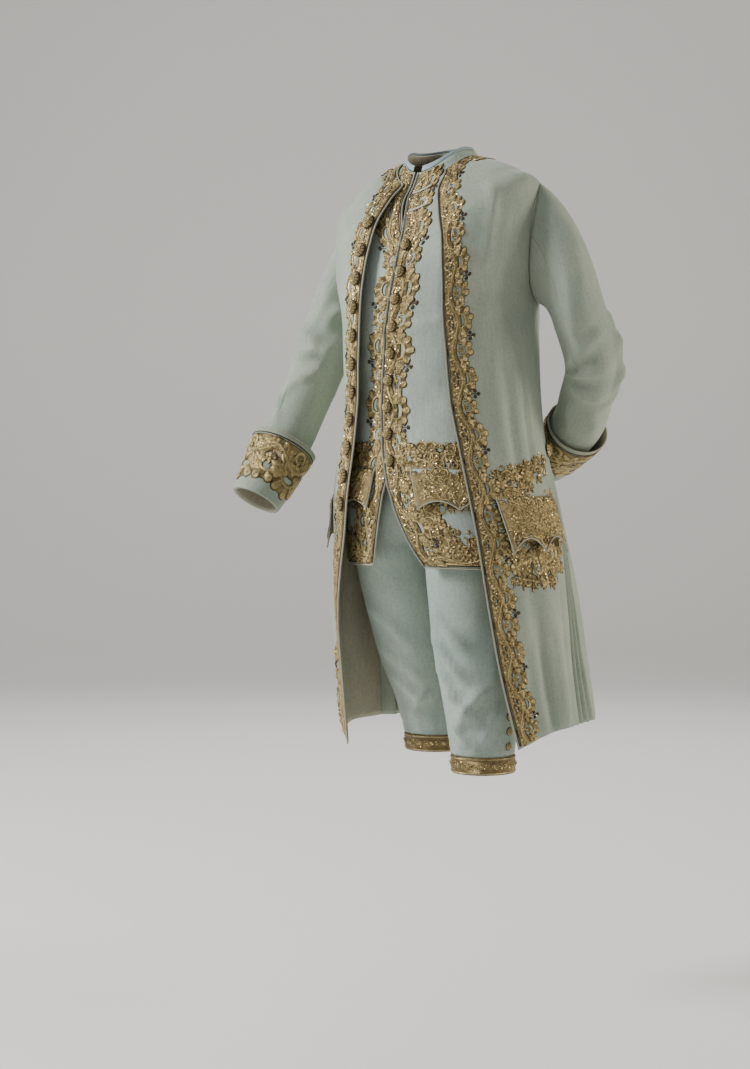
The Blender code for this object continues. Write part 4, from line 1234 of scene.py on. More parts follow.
@dataclass(frozen=True)
class CuffForm(SleeveForm):
    """A deep round cuff, turned back from the wrist and flaring upwards."""

    gap: float = 0.0006
    flare: float = 0.004
    outer_flare: float = 0.017
    flare_turn: float = math.radians(-40)

    def points(self, across: Array, along: Array) -> Array:
        """Reads the cuff.

        Args:
            across: Turns in degrees.
            along: Reaches, from 4 at its mouth to 5 at the wrist.

        Returns:
            The points.
        """
        share = np.clip(along - 4.0, 0.0, 1.0)
        outer = (1.0 + np.cos(np.radians(across) - self.flare_turn)) / 2.0
        stand_off = self.gap + (self.flare + self.outer_flare * outer) * (1.0 - share) ** 1.2
        return self.lifted(across, along, stand_off + CLOTH)


@dataclass(frozen=True)
class Patch:
    """Where a flap hangs on a front, as angles and places.

    Attributes:
        first: The angle of its front end, at its top.
        last: The angle of its back end.
        top: The place of its top.
        bottom: The place of its bottom.
        lean: How many degrees its front end moves back on the way down.
        stand_off: How far its lower edge stands off.
    """

    first: float
    last: float
    top: float
    bottom: float
    lean: float
    stand_off: float


COAT_FLAP = Patch(57.0, 103.0, 10.02, 11.18, 5.0, 0.01)
WAISTCOAT_FLAP = Patch(12.6, 60.0, 9.38, 10.3, 4.2, 0.006)
# How thick a flap is, and how high its top hangs over the needlework that it covers.
FLAP = 0.0025
OVER_FIELD = 0.0038


@dataclass
class FlapForm(Form):
    """A pocket flap, hung from its top edge, with a scalloped lower edge.

    It is read by a share from its front end to its back end, and a share from its top down.

    Attributes:
        ground: The front that it hangs on.
        side: Which side.
        patch: Where it hangs.
        points_below: How many scallops its lower edge has.
        scallop: How deep they are, as a share of its height.
        sewn: How far its top edge is drawn down under the needlework round it.
    """

    ground: "Lattice"
    side: Side
    patch: Patch
    points_below: int = 2
    scallop: float = 0.22
    sewn: float = 0.004

    @property
    def turned(self) -> float:
        """A flap's first share runs the other way on the right."""
        return float(self.side.value)

    def points(self, across: Array, along: Array) -> Array:
        """Reads the flap's outer face.

        Args:
            across: Shares from its front end.
            along: Shares from its top.

        Returns:
            The points.
        """
        patch = self.patch
        angle = self.side.value * mix(patch.first + patch.lean * along, patch.last, across)
        reach = 1.0 - self.scallop * np.abs(np.sin(math.pi * self.points_below * across)) ** 0.8
        place = mix(patch.top, patch.bottom, along * reach)
        sewn = self.sewn * (1.0 - smooth(along / 0.16))
        return self.ground.at(angle, place, OVER_FIELD + FLAP + patch.stand_off * along**2 - sewn)


# Below the waist the coat's side seam stays at this angle.
SEAM = 112.0
# The side pleats and the back vent start at this place, and run this many places down to the hem.
SLIT_TOP = 9.2
SLIT = 4.8


def seam_angle(place: Any) -> Array:
    """Where the coat's side seam lies: below the armhole, then swung towards the back."""
    start = ARMHOLE.place + ARMHOLE.half_places
    return mix(ARMHOLE.angle, SEAM, smooth((np.asarray(place) - start) / (8.0 - start)))


def pleat_half(place: Any) -> Array:
    """Half the angle that the side pleats take up."""
    share = (np.asarray(place, float) - SLIT_TOP) / SLIT
    return np.where(share < 0.0, 0.0, mix(0.4, 10.0, share))


def vent_half(place: Any) -> Array:
    """Half the angle of the back vent."""
    return 2.5 * np.clip((np.asarray(place, float) - SLIT_TOP) / SLIT, 0.0, 1.0)


def vent_edge(side: Side, place: Any) -> Array:
    """The angle of the vent's edge, where its needlework starts."""
    return side.value * (180.0 - vent_half(place) - 0.6)


def free_edge(table: Table, side: Side, place: Any) -> Array:
    """The angle of a front's free edge."""
    return table.keyed(place)[side.word]


# Right round a garment or a limb, and a little more, with the number of readings.
ROUND = (-186.0, 186.0, 497)
LIMB = (-186.0, 186.0, 187)


@dataclass
class Coat:
    """The coat: fronts, backs, linings, side pleats, sleeves and cuffs."""

    looks: Looks
    ground: Lattice = field(init=False)
    sleeves: dict[Side, Lattice] = field(init=False)
    cuffs: dict[Side, Lattice] = field(init=False)
    hem: float = 14.0
    lining_top: float = 9.1
    lining_inset: float = 0.012
    pleat_folds: int = 3
    pleat_depth: float = 0.024

    def __post_init__(self) -> None:
        """Reads the coat's surfaces."""
        self.ground = Lattice(CoatForm(), ROUND, (0.9, 14.1, 401), COAT_CREASES)
        reach = (0.0, 5.02, 252)
        self.sleeves = {side: Lattice(SleeveForm(side), LIMB, reach, SLEEVE_CREASES[side]) for side in Side}
        # The left cuff has been pressed flatter against its sleeve.
        flares, cuff = {Side.LEFT: 0.007, Side.RIGHT: 0.017}, (3.99, 5.01, 52)
        self.cuffs = {
            side: Lattice(CuffForm(side, outer_flare=flare), LIMB, cuff) for side, flare in flares.items()
        }
        for side, sleeve in self.sleeves.items():
            # The coat's creases run on into the sleeve head.
            angle, place = ARMHOLE.edge(np.radians(np.linspace(*LIMB)), shrink=0.1)
            angle = side.value * (ARMHOLE.angle - angle)
            shift = self.ground.at(angle, place) - CoatForm().points(angle, place)
            fade = 1.0 - smooth(np.linspace(*reach) / 0.4)
            sleeve.spots = sleeve.spots + shift[:, None] * fade[None, :, None]
            sleeve.normals = sleeve.outward()

    def rows(self, front: bool, side: Side) -> Array:
        """The rows of a panel.

        Args:
            front: Whether it is a front, not a back.
            side: Which side.

        Returns:
            The place of each row, and the angles where it starts and ends.
        """
        place, hole = ARMHOLE.rows(1.0, self.hem)
        way, seam = side.value, hole + pleat_half(place)
        if front:
            last = seam_angle(place) - seam
            last = last - (hole == 0.0) * (SEAM_GAP / 2.0) / self.ground.span(way * last, place)
            return np.array([place, free_edge(COAT_OPENING, side, place), way * last])
        first = seam_angle(place) + seam
        gap = (SEAM_GAP / 2.0) / self.ground.span(way * first, place)
        return np.array([place, way * (first + (hole == 0.0) * gap), way * (180.0 - vent_half(place) - gap)])

    def panels(self) -> None:
        """Makes the fronts, the backs and the linings of the skirts."""
        looks = [self.looks.wool, self.looks.lining]
        for side in Side:
            for part, front in (("front", True), ("back", False)):
                rows, edges = self.rows(front, side), Edges(last=0.0003) if front else Edges(first=0.0003)
                cloth(f"coat_{part}_{side.word}_cloth", self.ground, rows, 34, looks, edges=edges)
                place, first, last = rows[:, rows[0] > self.lining_top]
                inset = self.lining_inset / self.ground.span(first, place) * side.value
                skirt = (place, first + inset * (0.25 if front else 1.0), last - inset * (1.0 if front else 0.25))
                name, edges = f"coat_lining_{part}_{side.word}_silk", Edges(0.0003, 0.0003, 0.0003, 0.0003)
                silk, lift = [self.looks.lining], -CLOTH - SEAM_GAP
                cloth(name, self.ground, skirt, 24, silk, lift, LINING, edges)

    def pleats(self, side: Side) -> None:
        """Makes the fan of folds let into a side seam below the hip.

        Args:
            side: Which side.
        """
        place, share = np.linspace(SLIT_TOP, self.hem, 44)[:, None], np.linspace(0.0, 1.0, 61)[None, :]
        half = pleat_half(place) - (SEAM_GAP / 2.0) / self.ground.span(side.value * SEAM, place)
        # The folds open a little below the top and are deepest at the hem.
        deep = self.pleat_depth * np.clip((place - 9.8) / 4.2, 0.0, 1.0)
        angle = side.value * mix(SEAM - half, SEAM + half, share)
        fold = deep * (0.5 - 0.5 * np.cos(2.0 * math.pi * self.pleat_folds * share)) ** 0.85
        outer = self.ground.at(angle, place, -fold)
        along = unit(np.gradient(outer[..., :2], axis=1))
        inward = np.stack([-along[..., 1], along[..., 0], 0.0 * along[..., 0]], axis=-1) * side.value
        name, inner = f"coat_pleats_{side.word}_cloth", outer + inward * CLOTH * 0.8
        shell(name, outer, inner, [self.looks.wool])

    def sleeve(self, side: Side) -> None:
        """Makes a sleeve in a top half and an under half, and its cuff.

        Args:
            side: Which side.
        """
        reach = np.concatenate([np.linspace(0.0, 1.0, 22), np.linspace(1.03, 3.9, 66), np.linspace(3.95, 5.0, 12)])
        margin, looks = math.degrees(SEAM_GAP / 6.0 / 0.05), [self.looks.wool, self.looks.lining]
        for half, middle in (("top", 0.0), ("under", 180.0)):
            name = f"coat_sleeve_{side.word}_{half}_cloth"
            rows = (reach, middle - 90.0 + margin, middle + 90.0 - margin)
            cloth(name, self.sleeves[side], rows, 32, looks, edges=Edges(0.0001, 0.0001, 0.0003))
        name, rows = f"coat_cuff_{side.word}_cloth", (np.linspace(4.0, 5.0, 26), margin - 90.0, 270.0 - margin)
        edges = Edges(0.0006, 0.0006, 0.0008, 0.0008)
        cloth(name, self.cuffs[side], rows, 72, looks, edges=edges)

    def build(self) -> None:
        """Makes the coat's cloth."""
        self.panels()
        for side in Side:
            self.pleats(side)
            self.sleeve(side)


@dataclass
class Waistcoat:
    """The sleeveless waistcoat: two fronts, a linen back and a facing round the neck."""

    looks: Looks
    grounds: dict[Side, Lattice] = field(init=False)
    top: float = 0.36
    hem: float = 11.4

    def __post_init__(self) -> None:
        """Reads the two surfaces: the left front laps over the right one."""
        drops = {Side.LEFT: 0.0, Side.RIGHT: 0.0034}
        self.grounds = {
            side: Lattice(WaistcoatForm(underlap=drop), ROUND, (-0.1, 12.0, 364), WAISTCOAT_CREASES)
            for side, drop in drops.items()
        }

    def build(self) -> None:
        """Makes the waistcoat's cloth."""
        ground, looks = self.grounds[Side.LEFT], self.looks
        place, hole = ARMHOLE.rows(self.top, self.hem, widen=2.5)
        gap = (hole == 0.0) * (SEAM_GAP / 2.0) / ground.span(ARMHOLE.angle, place)
        for side in Side:
            name, back = f"waistcoat_front_{side.word}_cloth", side.value * (ARMHOLE.angle - hole - gap)
            rows = (place, free_edge(WAISTCOAT, side, place), back)
            cloth(name, self.grounds[side], rows, 32, [looks.silk, looks.linen])
        start = ARMHOLE.angle + hole + gap
        cloth("waistcoat_back_cloth", ground, (place, start, 360.0 - start), 30, [looks.linen])
        rows = (np.linspace(0.0, self.top - 0.03, 9), 4.0, 346.0)
        cloth("waistcoat_neckband_silk", ground, rows, 90, [looks.facing])


@dataclass
class Breeches:
    """The breeches: two halves, each of a front and a back, a waistband and knee bands."""

    looks: Looks
    legs: dict[Side, Lattice] = field(init=False)
    bands: dict[Side, Lattice] = field(init=False)
    knee_top: float = 0.466
    knee_bottom: float = 0.436

    def __post_init__(self) -> None:
        """Reads the surface of each half, with small gathers where the legs are drawn into their bands."""
        gathers = creases(
            *((turn, 0.462, turn + 5.0, 0.482 + 0.01 * math.sin(turn), 4.0, 1.8) for turn in range(-176, 180, 16))
        )
        self.legs = {
            side: Lattice(LegForm(side), LIMB, (0.43, 1.04, 306), LEG_CREASES[side] + gathers) for side in Side
        }
        self.bands = {side: Lattice(LegForm(side), LIMB, (0.43, 0.48, 26)) for side in Side}

    def half(self, side: Side) -> None:
        """Makes one half of the breeches.

        Args:
            side: Which side.
        """
        height = np.concatenate([np.linspace(1.0355, 0.832, 26), np.linspace(0.826, self.knee_top + 0.0003, 76)])
        margin, end = math.degrees(SEAM_GAP / 2.0 / 0.06), LegForm(side).last_turn(height)
        end = end - np.where(end > 179.0, margin, 0.0)
        looks = [self.looks.breeches, self.looks.linen]
        for part, way in (("front", 1.0), ("back", -1.0)):
            name, rows = f"breeches_{part}_{side.word}_cloth", (height, way * margin, way * end)
            cloth(name, self.legs[side], rows, 26, looks)

    def knee_band(self, side: Side) -> None:
        """Makes the band that gathers a leg below the knee.

        Args:
            side: Which side.
        """
        turn = np.linspace(-180.0, 180.0, 97)[:-1][None, :]
        height = np.linspace(self.knee_top - SEAM_GAP, self.knee_bottom, 9)[:, None]
        round_over = 0.003 - 0.0009 * np.abs(np.linspace(-1.0, 1.0, 9))[:, None] ** 4
        outer, inner = (self.bands[side].at(turn, height, lift) for lift in (round_over, 0.0))
        name = f"breeches_knee_band_{side.word}_braid"
        shell(name, outer, inner, [self.looks.gilt], closed=True)

    def waistband(self) -> None:
        """Makes the band that rises from the breeches' top to lie just inside the waistcoat."""
        angle = np.linspace(-180.0, 180.0, 121)[:-1]
        left, right = (self.legs[side].at(90.0 - np.abs(angle), 1.036) for side in Side)
        low = np.where((angle > 0)[:, None], left, right) + (0.0, 0.0, SEAM_GAP)
        depth = WAISTCOAT.keyed(8.0)["depth"] + CLOTH + 0.0034 + 0.0006
        high = BodyForm().lifted(angle, np.full_like(angle, 8.0), np.full_like(angle, -depth))
        outer = mix(low[None], high[None], np.linspace(1.0, 0.0, 9)[:, None, None])
        inner = outer + unit(outer * (-1.0, -1.0, 0.0)) * CLOTH
        looks = [self.looks.breeches, self.looks.linen]
        shell("breeches_waistband_cloth", outer, inner, looks, closed=True)

    def build(self) -> None:
        """Makes the breeches' cloth."""
        for side in Side:
            self.half(side)
            self.knee_band(side)
        self.waistband()


# Needlework


class Thread(Enum):
    """What an element is worked in, in the order of Looks.threads."""

    GILT = 0
    PURL = 1
    CHENILLE = 2
    CORD = 3
    SPANGLE = 4


@dataclass
class Strip:
    """A stretch of a garment, unrolled: s runs along an edge and t away from it, in metres.

    Attributes:
        ground: The surface that it lies on.
        length: How long it is.
        spot: Turns s and t into the surface's two numbers.
        frame: On a plain patch, where it starts and how much of them a metre makes.
        lift: How far the work's ground stands off the surface.
    """

    ground: Lattice
    length: float
    spot: Callable[[Array, Array], tuple[Array, Array]]
    frame: tuple[Array, Array] = (np.zeros(2), np.ones(2))
    lift: float = 0.0

    @classmethod
    def down(cls, ground: Lattice, edge: Callable[[Any], Array], way: float, top: float, bottom: float) -> "Strip":
        """A strip down a free edge.

        Args:
            ground: The surface.
            edge: The edge's angle at each place.
            way: 1 where the cloth lies at larger angles than its edge, and -1 at smaller.
            top: The place where it starts.
            bottom: The place where it ends.

        Returns:
            The strip.
        """
        place = np.linspace(top, bottom, 900)
        run = along_path(ground.at(edge(place), place))

        def spot(s: Array, t: Array) -> tuple[Array, Array]:
            """Finds the angle and the place of drawn points.

            Args:
                s: How far they lie along the edge.
                t: How far they lie from it.

            Returns:
                The angles and the places.
            """
            at = np.interp(s, run, place)
            start = edge(at)
            middle = ground.span(start + way * t / ground.span(start, at) / 2.0, at)
            return start + way * t / middle, at

        return cls(ground, float(run[-1]), spot)

    @classmethod
    def patch(cls, ground: Lattice, low: Pair, high: Pair) -> "Strip":
        """A plain patch, between two corners given in the surface's two numbers.

        Args:
            ground: The surface.
            low: The corner where s and t are 0.
            high: The corner across from it.

        Returns:
            The strip.
        """
        corners, share = np.array([low, high], float), np.linspace(0.0, 1.0, 60)
        middle = corners.mean(axis=0)
        lines = (mix(low[0], high[0], share), middle[1]), (middle[0], mix(low[1], high[1], share))
        sizes = [np.linalg.norm(np.diff(ground.at(*line), axis=0), axis=1).sum() for line in lines]

        def spot(s: Array, t: Array) -> tuple[Array, Array]:
            """Finds the surface's two numbers at a drawn point."""
            return mix(low[0], high[0], s / sizes[0]), mix(low[1], high[1], t / sizes[1])

        return cls(ground, sizes[0], spot, (corners[0], (corners[1] - corners[0]) / np.array(sizes)))

    def flat(self, corners: Sequence[Pair]) -> Array:
        """Turns corners given in a patch's two numbers into s and t."""
        return (np.array(corners, float) - self.frame[0]) / self.frame[1]


def level(x: Array, y: Any) -> Array:
    """A drawn line along x, at these distances from the edge."""
    return np.stack(np.broadcast_arrays(x, y), axis=-1)


def lobe_width(share: Array) -> Array:
    """A lobe's width on its way to a round tip."""
    return (0.5 + 0.5 * smooth(share / 0.75)) * np.sqrt(np.clip(1.0 - share**12, 0.02, 1.0))


def blade_width(share: Array) -> Array:
    """A pointed leaf's width on its way to its tip."""
    return np.clip(np.sin(math.pi * share**0.75), 0.07, 1.0)


def away(spot: Any, heading: float, distance: float) -> Pair:
    """The point at this distance from another, in a direction in degrees."""
    turn = math.radians(heading)
    return spot[0] + distance * math.cos(turn), spot[1] + distance * math.sin(turn)


def depth_within(spot: Array, corners: Array) -> float:
    """How far inside an outline a point lies, or a negative number outside it.

    Args:
        spot: The point.
        corners: The outline's corners, in order.

    Returns:
        The distance to the outline.
    """
    after = np.roll(corners, -1, axis=0)
    run = after - corners
    share = np.clip(((spot - corners) * run).sum(axis=1) / (run * run).sum(axis=1), 0.0, 1.0)
    near = float(np.linalg.norm(corners + run * share[:, None] - spot, axis=1).min())
    crossed = (corners[:, 1] > spot[1]) != (after[:, 1] > spot[1])
    x = corners[:, 0] + (spot[1] - corners[:, 1]) / np.where(crossed, run[:, 1], 1.0) * run[:, 0]
    return near if (crossed & (x > spot[0])).sum() % 2 else -near


# A band's points across, and how high each stands. Small elements are made of fewer faces.
SMALL = 0.005
TINY = 0.0036
BROAD = (np.array([-1.0, -0.64, 0.0, 0.64, 1.0]), np.array([0.0, 0.76, 1.0, 0.76, 0.0]))
NARROW = (np.array([-1.0, 0.0, 1.0]), np.array([0.0, 1.0, 0.0]))


@dataclass
class Needlework:
    """Raised work, drawn flat: x runs ahead, and y away from the edge. It is then laid on a strip.

    Attributes:
        seed: What its small irregularities are drawn from.
        start: How far along the strip the drawing starts.
        threads: How near each point is to its element's rim, and its tone.
        looks: What each face is worked in.
        sites: Where spangles may be sewn.
    """

    seed: int
    start: float = 0.0
    points: list[Array] = field(default_factory=list)
    uvs: list[Array] = field(default_factory=list)
    threads: list[Array] = field(default_factory=list)
    faces: list[Sequence[int]] = field(default_factory=list)
    looks: list[int] = field(default_factory=list)
    sites: list[tuple[float, float, float]] = field(default_factory=list)
    count: int = 0

    def __post_init__(self) -> None:
        """Starts the draws of its irregularities."""
        self.chance = random.Random(self.seed)

    def add(
        self, flat: Array, up: Array, faces: Sequence[Sequence[int]], uv: Array, rim: Array, thread: Thread,
        tone: float | None = None,
    ) -> None:
        """Adds one element.

        Args:
            flat: Its points.
            up: How high each point stands.
            faces: Its faces, turned up.
            uv: Two numbers for each point that the thread's pattern follows, in metres.
            rim: How near each point is to the element's rim.
            thread: What it is worked in.
            tone: How bright it is, or None for chance.
        """
        tone = self.chance.uniform(0.4, 1.1) if tone is None else tone
        self.points.append(np.column_stack([flat + (self.start, 0.0), up]))
        self.uvs.append(uv)
        self.threads.append(np.column_stack([rim, np.full(len(rim), tone)]))
        self.faces += [[corner + self.count for corner in face] for face in faces]
        self.looks += [thread.value] * len(faces)
        self.count += len(flat)

    def ribbon(
        self, path: Array, width: Any, height: float, thread: Thread = Thread.GILT, base: float = 0.0,
        tone: float | None = None, outlined_and_shaded: bool = True,
    ) -> None:
        """Lays a rounded band along a path.

        Args:
            path: The points of its middle.
            width: Its width, the same all along or at each point.
            height: How high it stands where it is widest.
            thread: What it is worked in.
            base: How high its foot stands.
            tone: How bright it is, or None for chance.
            outlined_and_shaded: Whether its rims are dark, as a couched outline and as painted shade.
        """
        width = np.broadcast_to(np.asarray(width, float), len(path))
        ahead = unit(np.gradient(path, axis=0))
        aside = np.stack([-ahead[:, 1], ahead[:, 0]], axis=-1)
        section, crown = BROAD if width.max() > SMALL else NARROW
        over = section[None, :] * width[:, None] / 2.0
        flat = path[:, None] + aside[:, None] * over[..., None]
        rise = height * np.sqrt(np.clip(width / width.max(), 0.0, 1.0))
        up = base - 0.0005 + (rise[:, None] + 0.0005) * crown[None, :]
        uv = np.stack(np.broadcast_arrays(along_path(path)[:, None], over), axis=-1)
        # Its rims are drawn dark where it is outlined: partly a couched outline, partly painted shade at its edges.
        rim = np.broadcast_to(np.abs(section) * outlined_and_shaded, up.shape)
        faces = [face[::-1] for face in grid_faces(len(path), len(section))]
        self.add(flat.reshape(-1, 2), up.ravel(), faces, uv.reshape(-1, 2), rim.ravel(), thread, tone)
        middle = len(path) // 2
        self.sites.append((*path[middle], base + float(rise[middle])))

    def leaf(
        self, base: Any, heading: float, length: float, width: float, curl: float = 0.0,
        thread: Thread = Thread.GILT, height: float = 0.0014, shape: Callable[[Array], Array] = lobe_width,
        lift: float = 0.0,
    ) -> Array:
        """Works one leaf or lobe over padding.

        Args:
            base: Where it springs from.
            heading: Which way it points, in degrees from x towards y.
            length: Its length.
            width: Its greatest width.
            curl: How far it turns on its way, in degrees.
            thread: What it is worked in.
            height: How high its padding stands.
            shape: Its width on its way, as a share of the greatest.
            lift: How high its foot stands.

        Returns:
            Its tip.
        """
        share = np.sin(np.linspace(0.0, math.pi / 2.0, 4 + (length > SMALL) + (length > 2.0 * SMALL)))
        turn = np.radians(heading + curl * share[1:])
        steps = spokes(turn) * (np.diff(share) * length)[:, None]
        path = np.array(base) + np.concatenate([np.zeros((1, 2)), np.cumsum(steps, axis=0)])
        self.ribbon(path, shape(share) * width, height, thread, lift)
        return path[-1]

    def dome(
        self, centre: Pair, radius: float, height: float, thread: Thread = Thread.PURL, petals: int = 0,
        depth: float = 0.0, segments: int = 10, base: float = 0.0, tone: float | None = None,
    ) -> None:
        """Works a round boss, or a flower where it has petals.

        Args:
            centre: Its centre.
            radius: Its radius.
            height: How high it stands.
            thread: What it is worked in.
            petals: How many petals it has.
            depth: How deep the notches between them are, as a share of the radius.
            segments: How many sides it has.
            base: How high its foot stands.
            tone: How bright it is, or None for chance.
        """
        turns = circle(segments)
        notch = 1.0 - depth * (0.5 - 0.5 * np.cos(petals * turns)) if petals else np.ones(segments)
        rings = (1.0, 0.58) if 2.0 * radius > TINY else (1.0,)
        if 2.0 * radius > SMALL and height > 0.001:
            rings = (1.0, 0.72, 0.36)
        petal = spokes(turns) * notch[:, None]
        flat = [petal * radius * ring for ring in rings] + [np.zeros((1, 2))]
        rise = [base - 0.0004 + (height + 0.0004) * math.sqrt(max(0.0, 1.0 - ring**2.2)) for ring in rings]
        up = [np.full(segments, high) for high in rise] + [np.array([base + height])]
        faces = dome_faces(len(rings), segments)
        uv = [np.stack([turns * radius * 0.6, np.full(segments, radius * ring)], axis=-1) for ring in rings]
        # Its outer ring is drawn dark: partly an outline, partly painted shade at its foot.
        rim = np.concatenate([np.full(segments, ring) for ring in rings] + [np.zeros(1)])
        drawn = np.concatenate(flat) + np.array(centre)
        self.add(drawn, np.concatenate(up), faces, np.concatenate([*uv, np.zeros((1, 2))]), rim, thread, tone)
        self.sites.append((*centre, base + height))

    def pad(self, centre: Any, radius: float) -> None:
        """Couches a flat ground of dull thread under an element."""
        self.dome(centre, radius, 0.0006, Thread.GILT, segments=9, tone=0.1)

    def palmette(self, base: Any, heading: float, size: float, lobes: int = 5, spread: float = 68.0) -> None:
        """Works a fan of round lobes, with a vein of purl down each on the larger fans.

        Args:
            base: Where it springs from.
            heading: Which way it points, in degrees.
            size: The length of its middle lobe.
            lobes: How many lobes it has.
            spread: How far its outer lobes are turned aside, in degrees.
        """
        self.pad(away(base, heading, 0.36 * size), 0.44 * size)
        height = 0.0011 + 0.03 * size
        for share in sorted(np.linspace(-1.0, 1.0, lobes), key=abs, reverse=True):
            way = heading + spread * share + self.chance.uniform(-3.0, 3.0)
            width = size * 1.66 / lobes * (1.0 - 0.1 * abs(share))
            length = size * (1.0 - 0.2 * abs(share) ** 1.4) * self.chance.uniform(0.95, 1.05) - 0.5 * width
            raised = height * (1.0 - 0.2 * abs(share))
            tip = self.leaf(base, way, length, width * 0.92, 30.0 * share, Thread.GILT, raised)
            if size > 0.009:
                self.dome(tip, width * 0.58, raised * 1.15, Thread.GILT, segments=8 if size > 0.015 else 6)
            if size > 0.012:
                vein = (Thread.PURL, 0.0006, blade_width, raised * 0.86)
                self.leaf(base, way, length, width * 0.26, 30.0 * share, *vein)
        self.dome(base, size * 0.15, height * 0.9, Thread.PURL, segments=6, base=height * 0.5)

    def shell(self, centre: Any, radius: float, lobes: int = 5, spread: float = 76.0) -> None:
        """Works a C-shaped band with round lobes on its outer side, and the cloth showing within.

        Args:
            centre: The centre of the C.
            radius: How far its lobes reach.
            lobes: How many lobes it has.
            spread: How far its outer lobes are turned aside, in degrees.
        """
        heading = 90.0 + self.chance.uniform(-9.0, 9.0)
        radius = radius * self.chance.uniform(0.93, 1.05)
        share = np.linspace(-1.0, 1.0, 19)
        turn = np.radians(heading + (spread + 40.0) * share)
        spoke = spokes(turn)
        self.ribbon(np.array(centre) + spoke * (0.68 * radius), 0.48 * radius, 0.0008, tone=0.1)
        width = 2.1 * radius / lobes
        for part in np.linspace(-1.0, 1.0, lobes):
            way = heading + spread * part + self.chance.uniform(-4.0, 4.0)
            root, length = away(centre, way, 0.42 * radius), radius * self.chance.uniform(0.34, 0.42)
            tip = self.leaf(root, way, length, width * 0.92, 14.0 * part, Thread.GILT, 0.0019)
            self.dome(tip, 0.55 * width, 0.0024, Thread.GILT, segments=10)
            self.leaf(root, way, length, width * 0.22, 14.0 * part, Thread.PURL, 0.0007, blade_width, 0.0017)
            self.dome(tip, 0.17 * width, 0.0008, Thread.PURL, segments=6, base=0.0021)
        arc = np.array(centre) + spoke * (radius * (0.46 - 0.12 * share**4))[:, None]
        self.ribbon(arc, radius * (0.17 - 0.09 * share**2), 0.0021, base=0.0002)
        # A small fan stands in its hollow, so that the open cloth is a crescent.
        self.palmette(away(centre, heading, -0.3 * radius), heading, 0.42 * radius, 3, 48.0)

    def flower(self, centre: Any, radius: float, petals: int = 6) -> None:
        """Works a round flower: a ring of petals, an inner flower and a boss.

        Args:
            centre: Its centre.
            radius: Its radius.
            petals: How many petals it has.
        """
        self.pad(centre, radius * 0.9)
        turn = self.chance.uniform(0.0, 60.0)
        for number in range(petals):
            way = turn + number * 360.0 / petals
            self.leaf(away(centre, way, 0.3 * radius), way, radius * 0.7, radius * 4.2 / petals)
        self.dome(centre, radius * 0.46, 0.0014, Thread.PURL, petals, 0.3, petals * 3, 0.0006)
        self.dome(centre, radius * 0.17, 0.001, Thread.GILT, segments=8, base=0.0018)

    def scroll(
        self, centre: Pair, radius: float, start: float, sweep: float, width: float, wound: float = 0.58,
    ) -> None:
        """Works a C-scroll that winds inwards to a boss.

        Args:
            centre: The centre that it winds to.
            radius: Its radius at its start.
            start: The angle of its start, in degrees.
            sweep: How far it winds, in degrees.
            width: Its width.
            wound: How much of its radius it loses.
        """
        height = 0.002
        share = np.linspace(0.0, 1.0, max(12, round(abs(math.radians(sweep)) * radius / 0.0034)))
        turn = np.radians(start + sweep * share)
        spoke = radius * (1.0 - wound * smooth((share - 0.25) / 0.75))
        path = np.array(centre) + spokes(turn) * spoke[:, None]
        widths = width * (0.72 + 0.28 * np.sin(math.pi * np.clip(share * 1.15, 0.0, 1.0)))
        self.ribbon(path, widths, height, Thread.GILT, 0.0002)
        self.ribbon(path, width * 0.16, 0.0005, Thread.PURL, height * 0.9)
        self.dome(path[-1], width * 0.62, height * 1.15, Thread.PURL, segments=8, base=0.0003)

    def sprig(self, base: Pair, heading: float, size: float) -> None:
        """Works a stalk with three round buds.

        Args:
            base: Where it springs from.
            heading: Which way it points, in degrees.
            size: Its length.
        """
        self.leaf(base, heading, size * 0.62, size * 0.12, 0.0, Thread.CHENILLE, 0.0007, np.ones_like)
        for aside, ahead in ((-0.25, 0.46), (0.25, 0.46), (0.0, 0.78)):
            bud = away(away(base, heading, ahead * size), heading + 90.0, aside * size)
            self.dome(bud, size * 0.19, 0.0015, Thread.CHENILLE, segments=7)

    def seeds(self, count: int, low: Any, high: Any) -> None:
        """Scatters small knots over the ground between the larger elements.

        Args:
            count: How many.
            low: The lowest x and y.
            high: The highest x and y.
        """
        for _ in range(count):
            spot = (self.chance.uniform(low[0], high[0]), self.chance.uniform(low[1], high[1]))
            thread = Thread.CHENILLE if self.chance.random() < 0.3 else Thread.GILT
            self.dome(spot, self.chance.uniform(0.001, 0.0018), 0.001, thread, segments=6)

    def fill(self, corners: Array, size: float, bare: Array | None, over: float) -> None:
        """Fills an outline with flowers and scrolls, and with fans that make its rim.

        Args:
            corners: The outline, as s and t.
            size: The size of its elements.
            bare: An outline inside it that stays plain cloth.
            over: How far the fans reach over the outline, as a share of their size.
        """

        def depth(spot: Array) -> float:
            """How far a point lies from plain cloth."""
            inner = math.inf if bare is None else -depth_within(spot, bare)
            return min(depth_within(spot, corners), inner)

        low, high = corners.min(axis=0), corners.max(axis=0)
        counts = np.maximum(1, np.round((high - low) / (size * np.array([0.8, 0.7]))).astype(int))
        step = (high - low) / counts
        for row in range(counts[1] + 1):
            for column in range(counts[0] + 1):
                nudge = np.array([self.chance.uniform(-0.14, 0.14), self.chance.uniform(-0.1, 0.1)]) * size
                spot = low + step * np.array([column + 0.5 * (row % 2), row]) + nudge
                deep = depth(spot)
                if deep < 0.06 * size:
                    continue
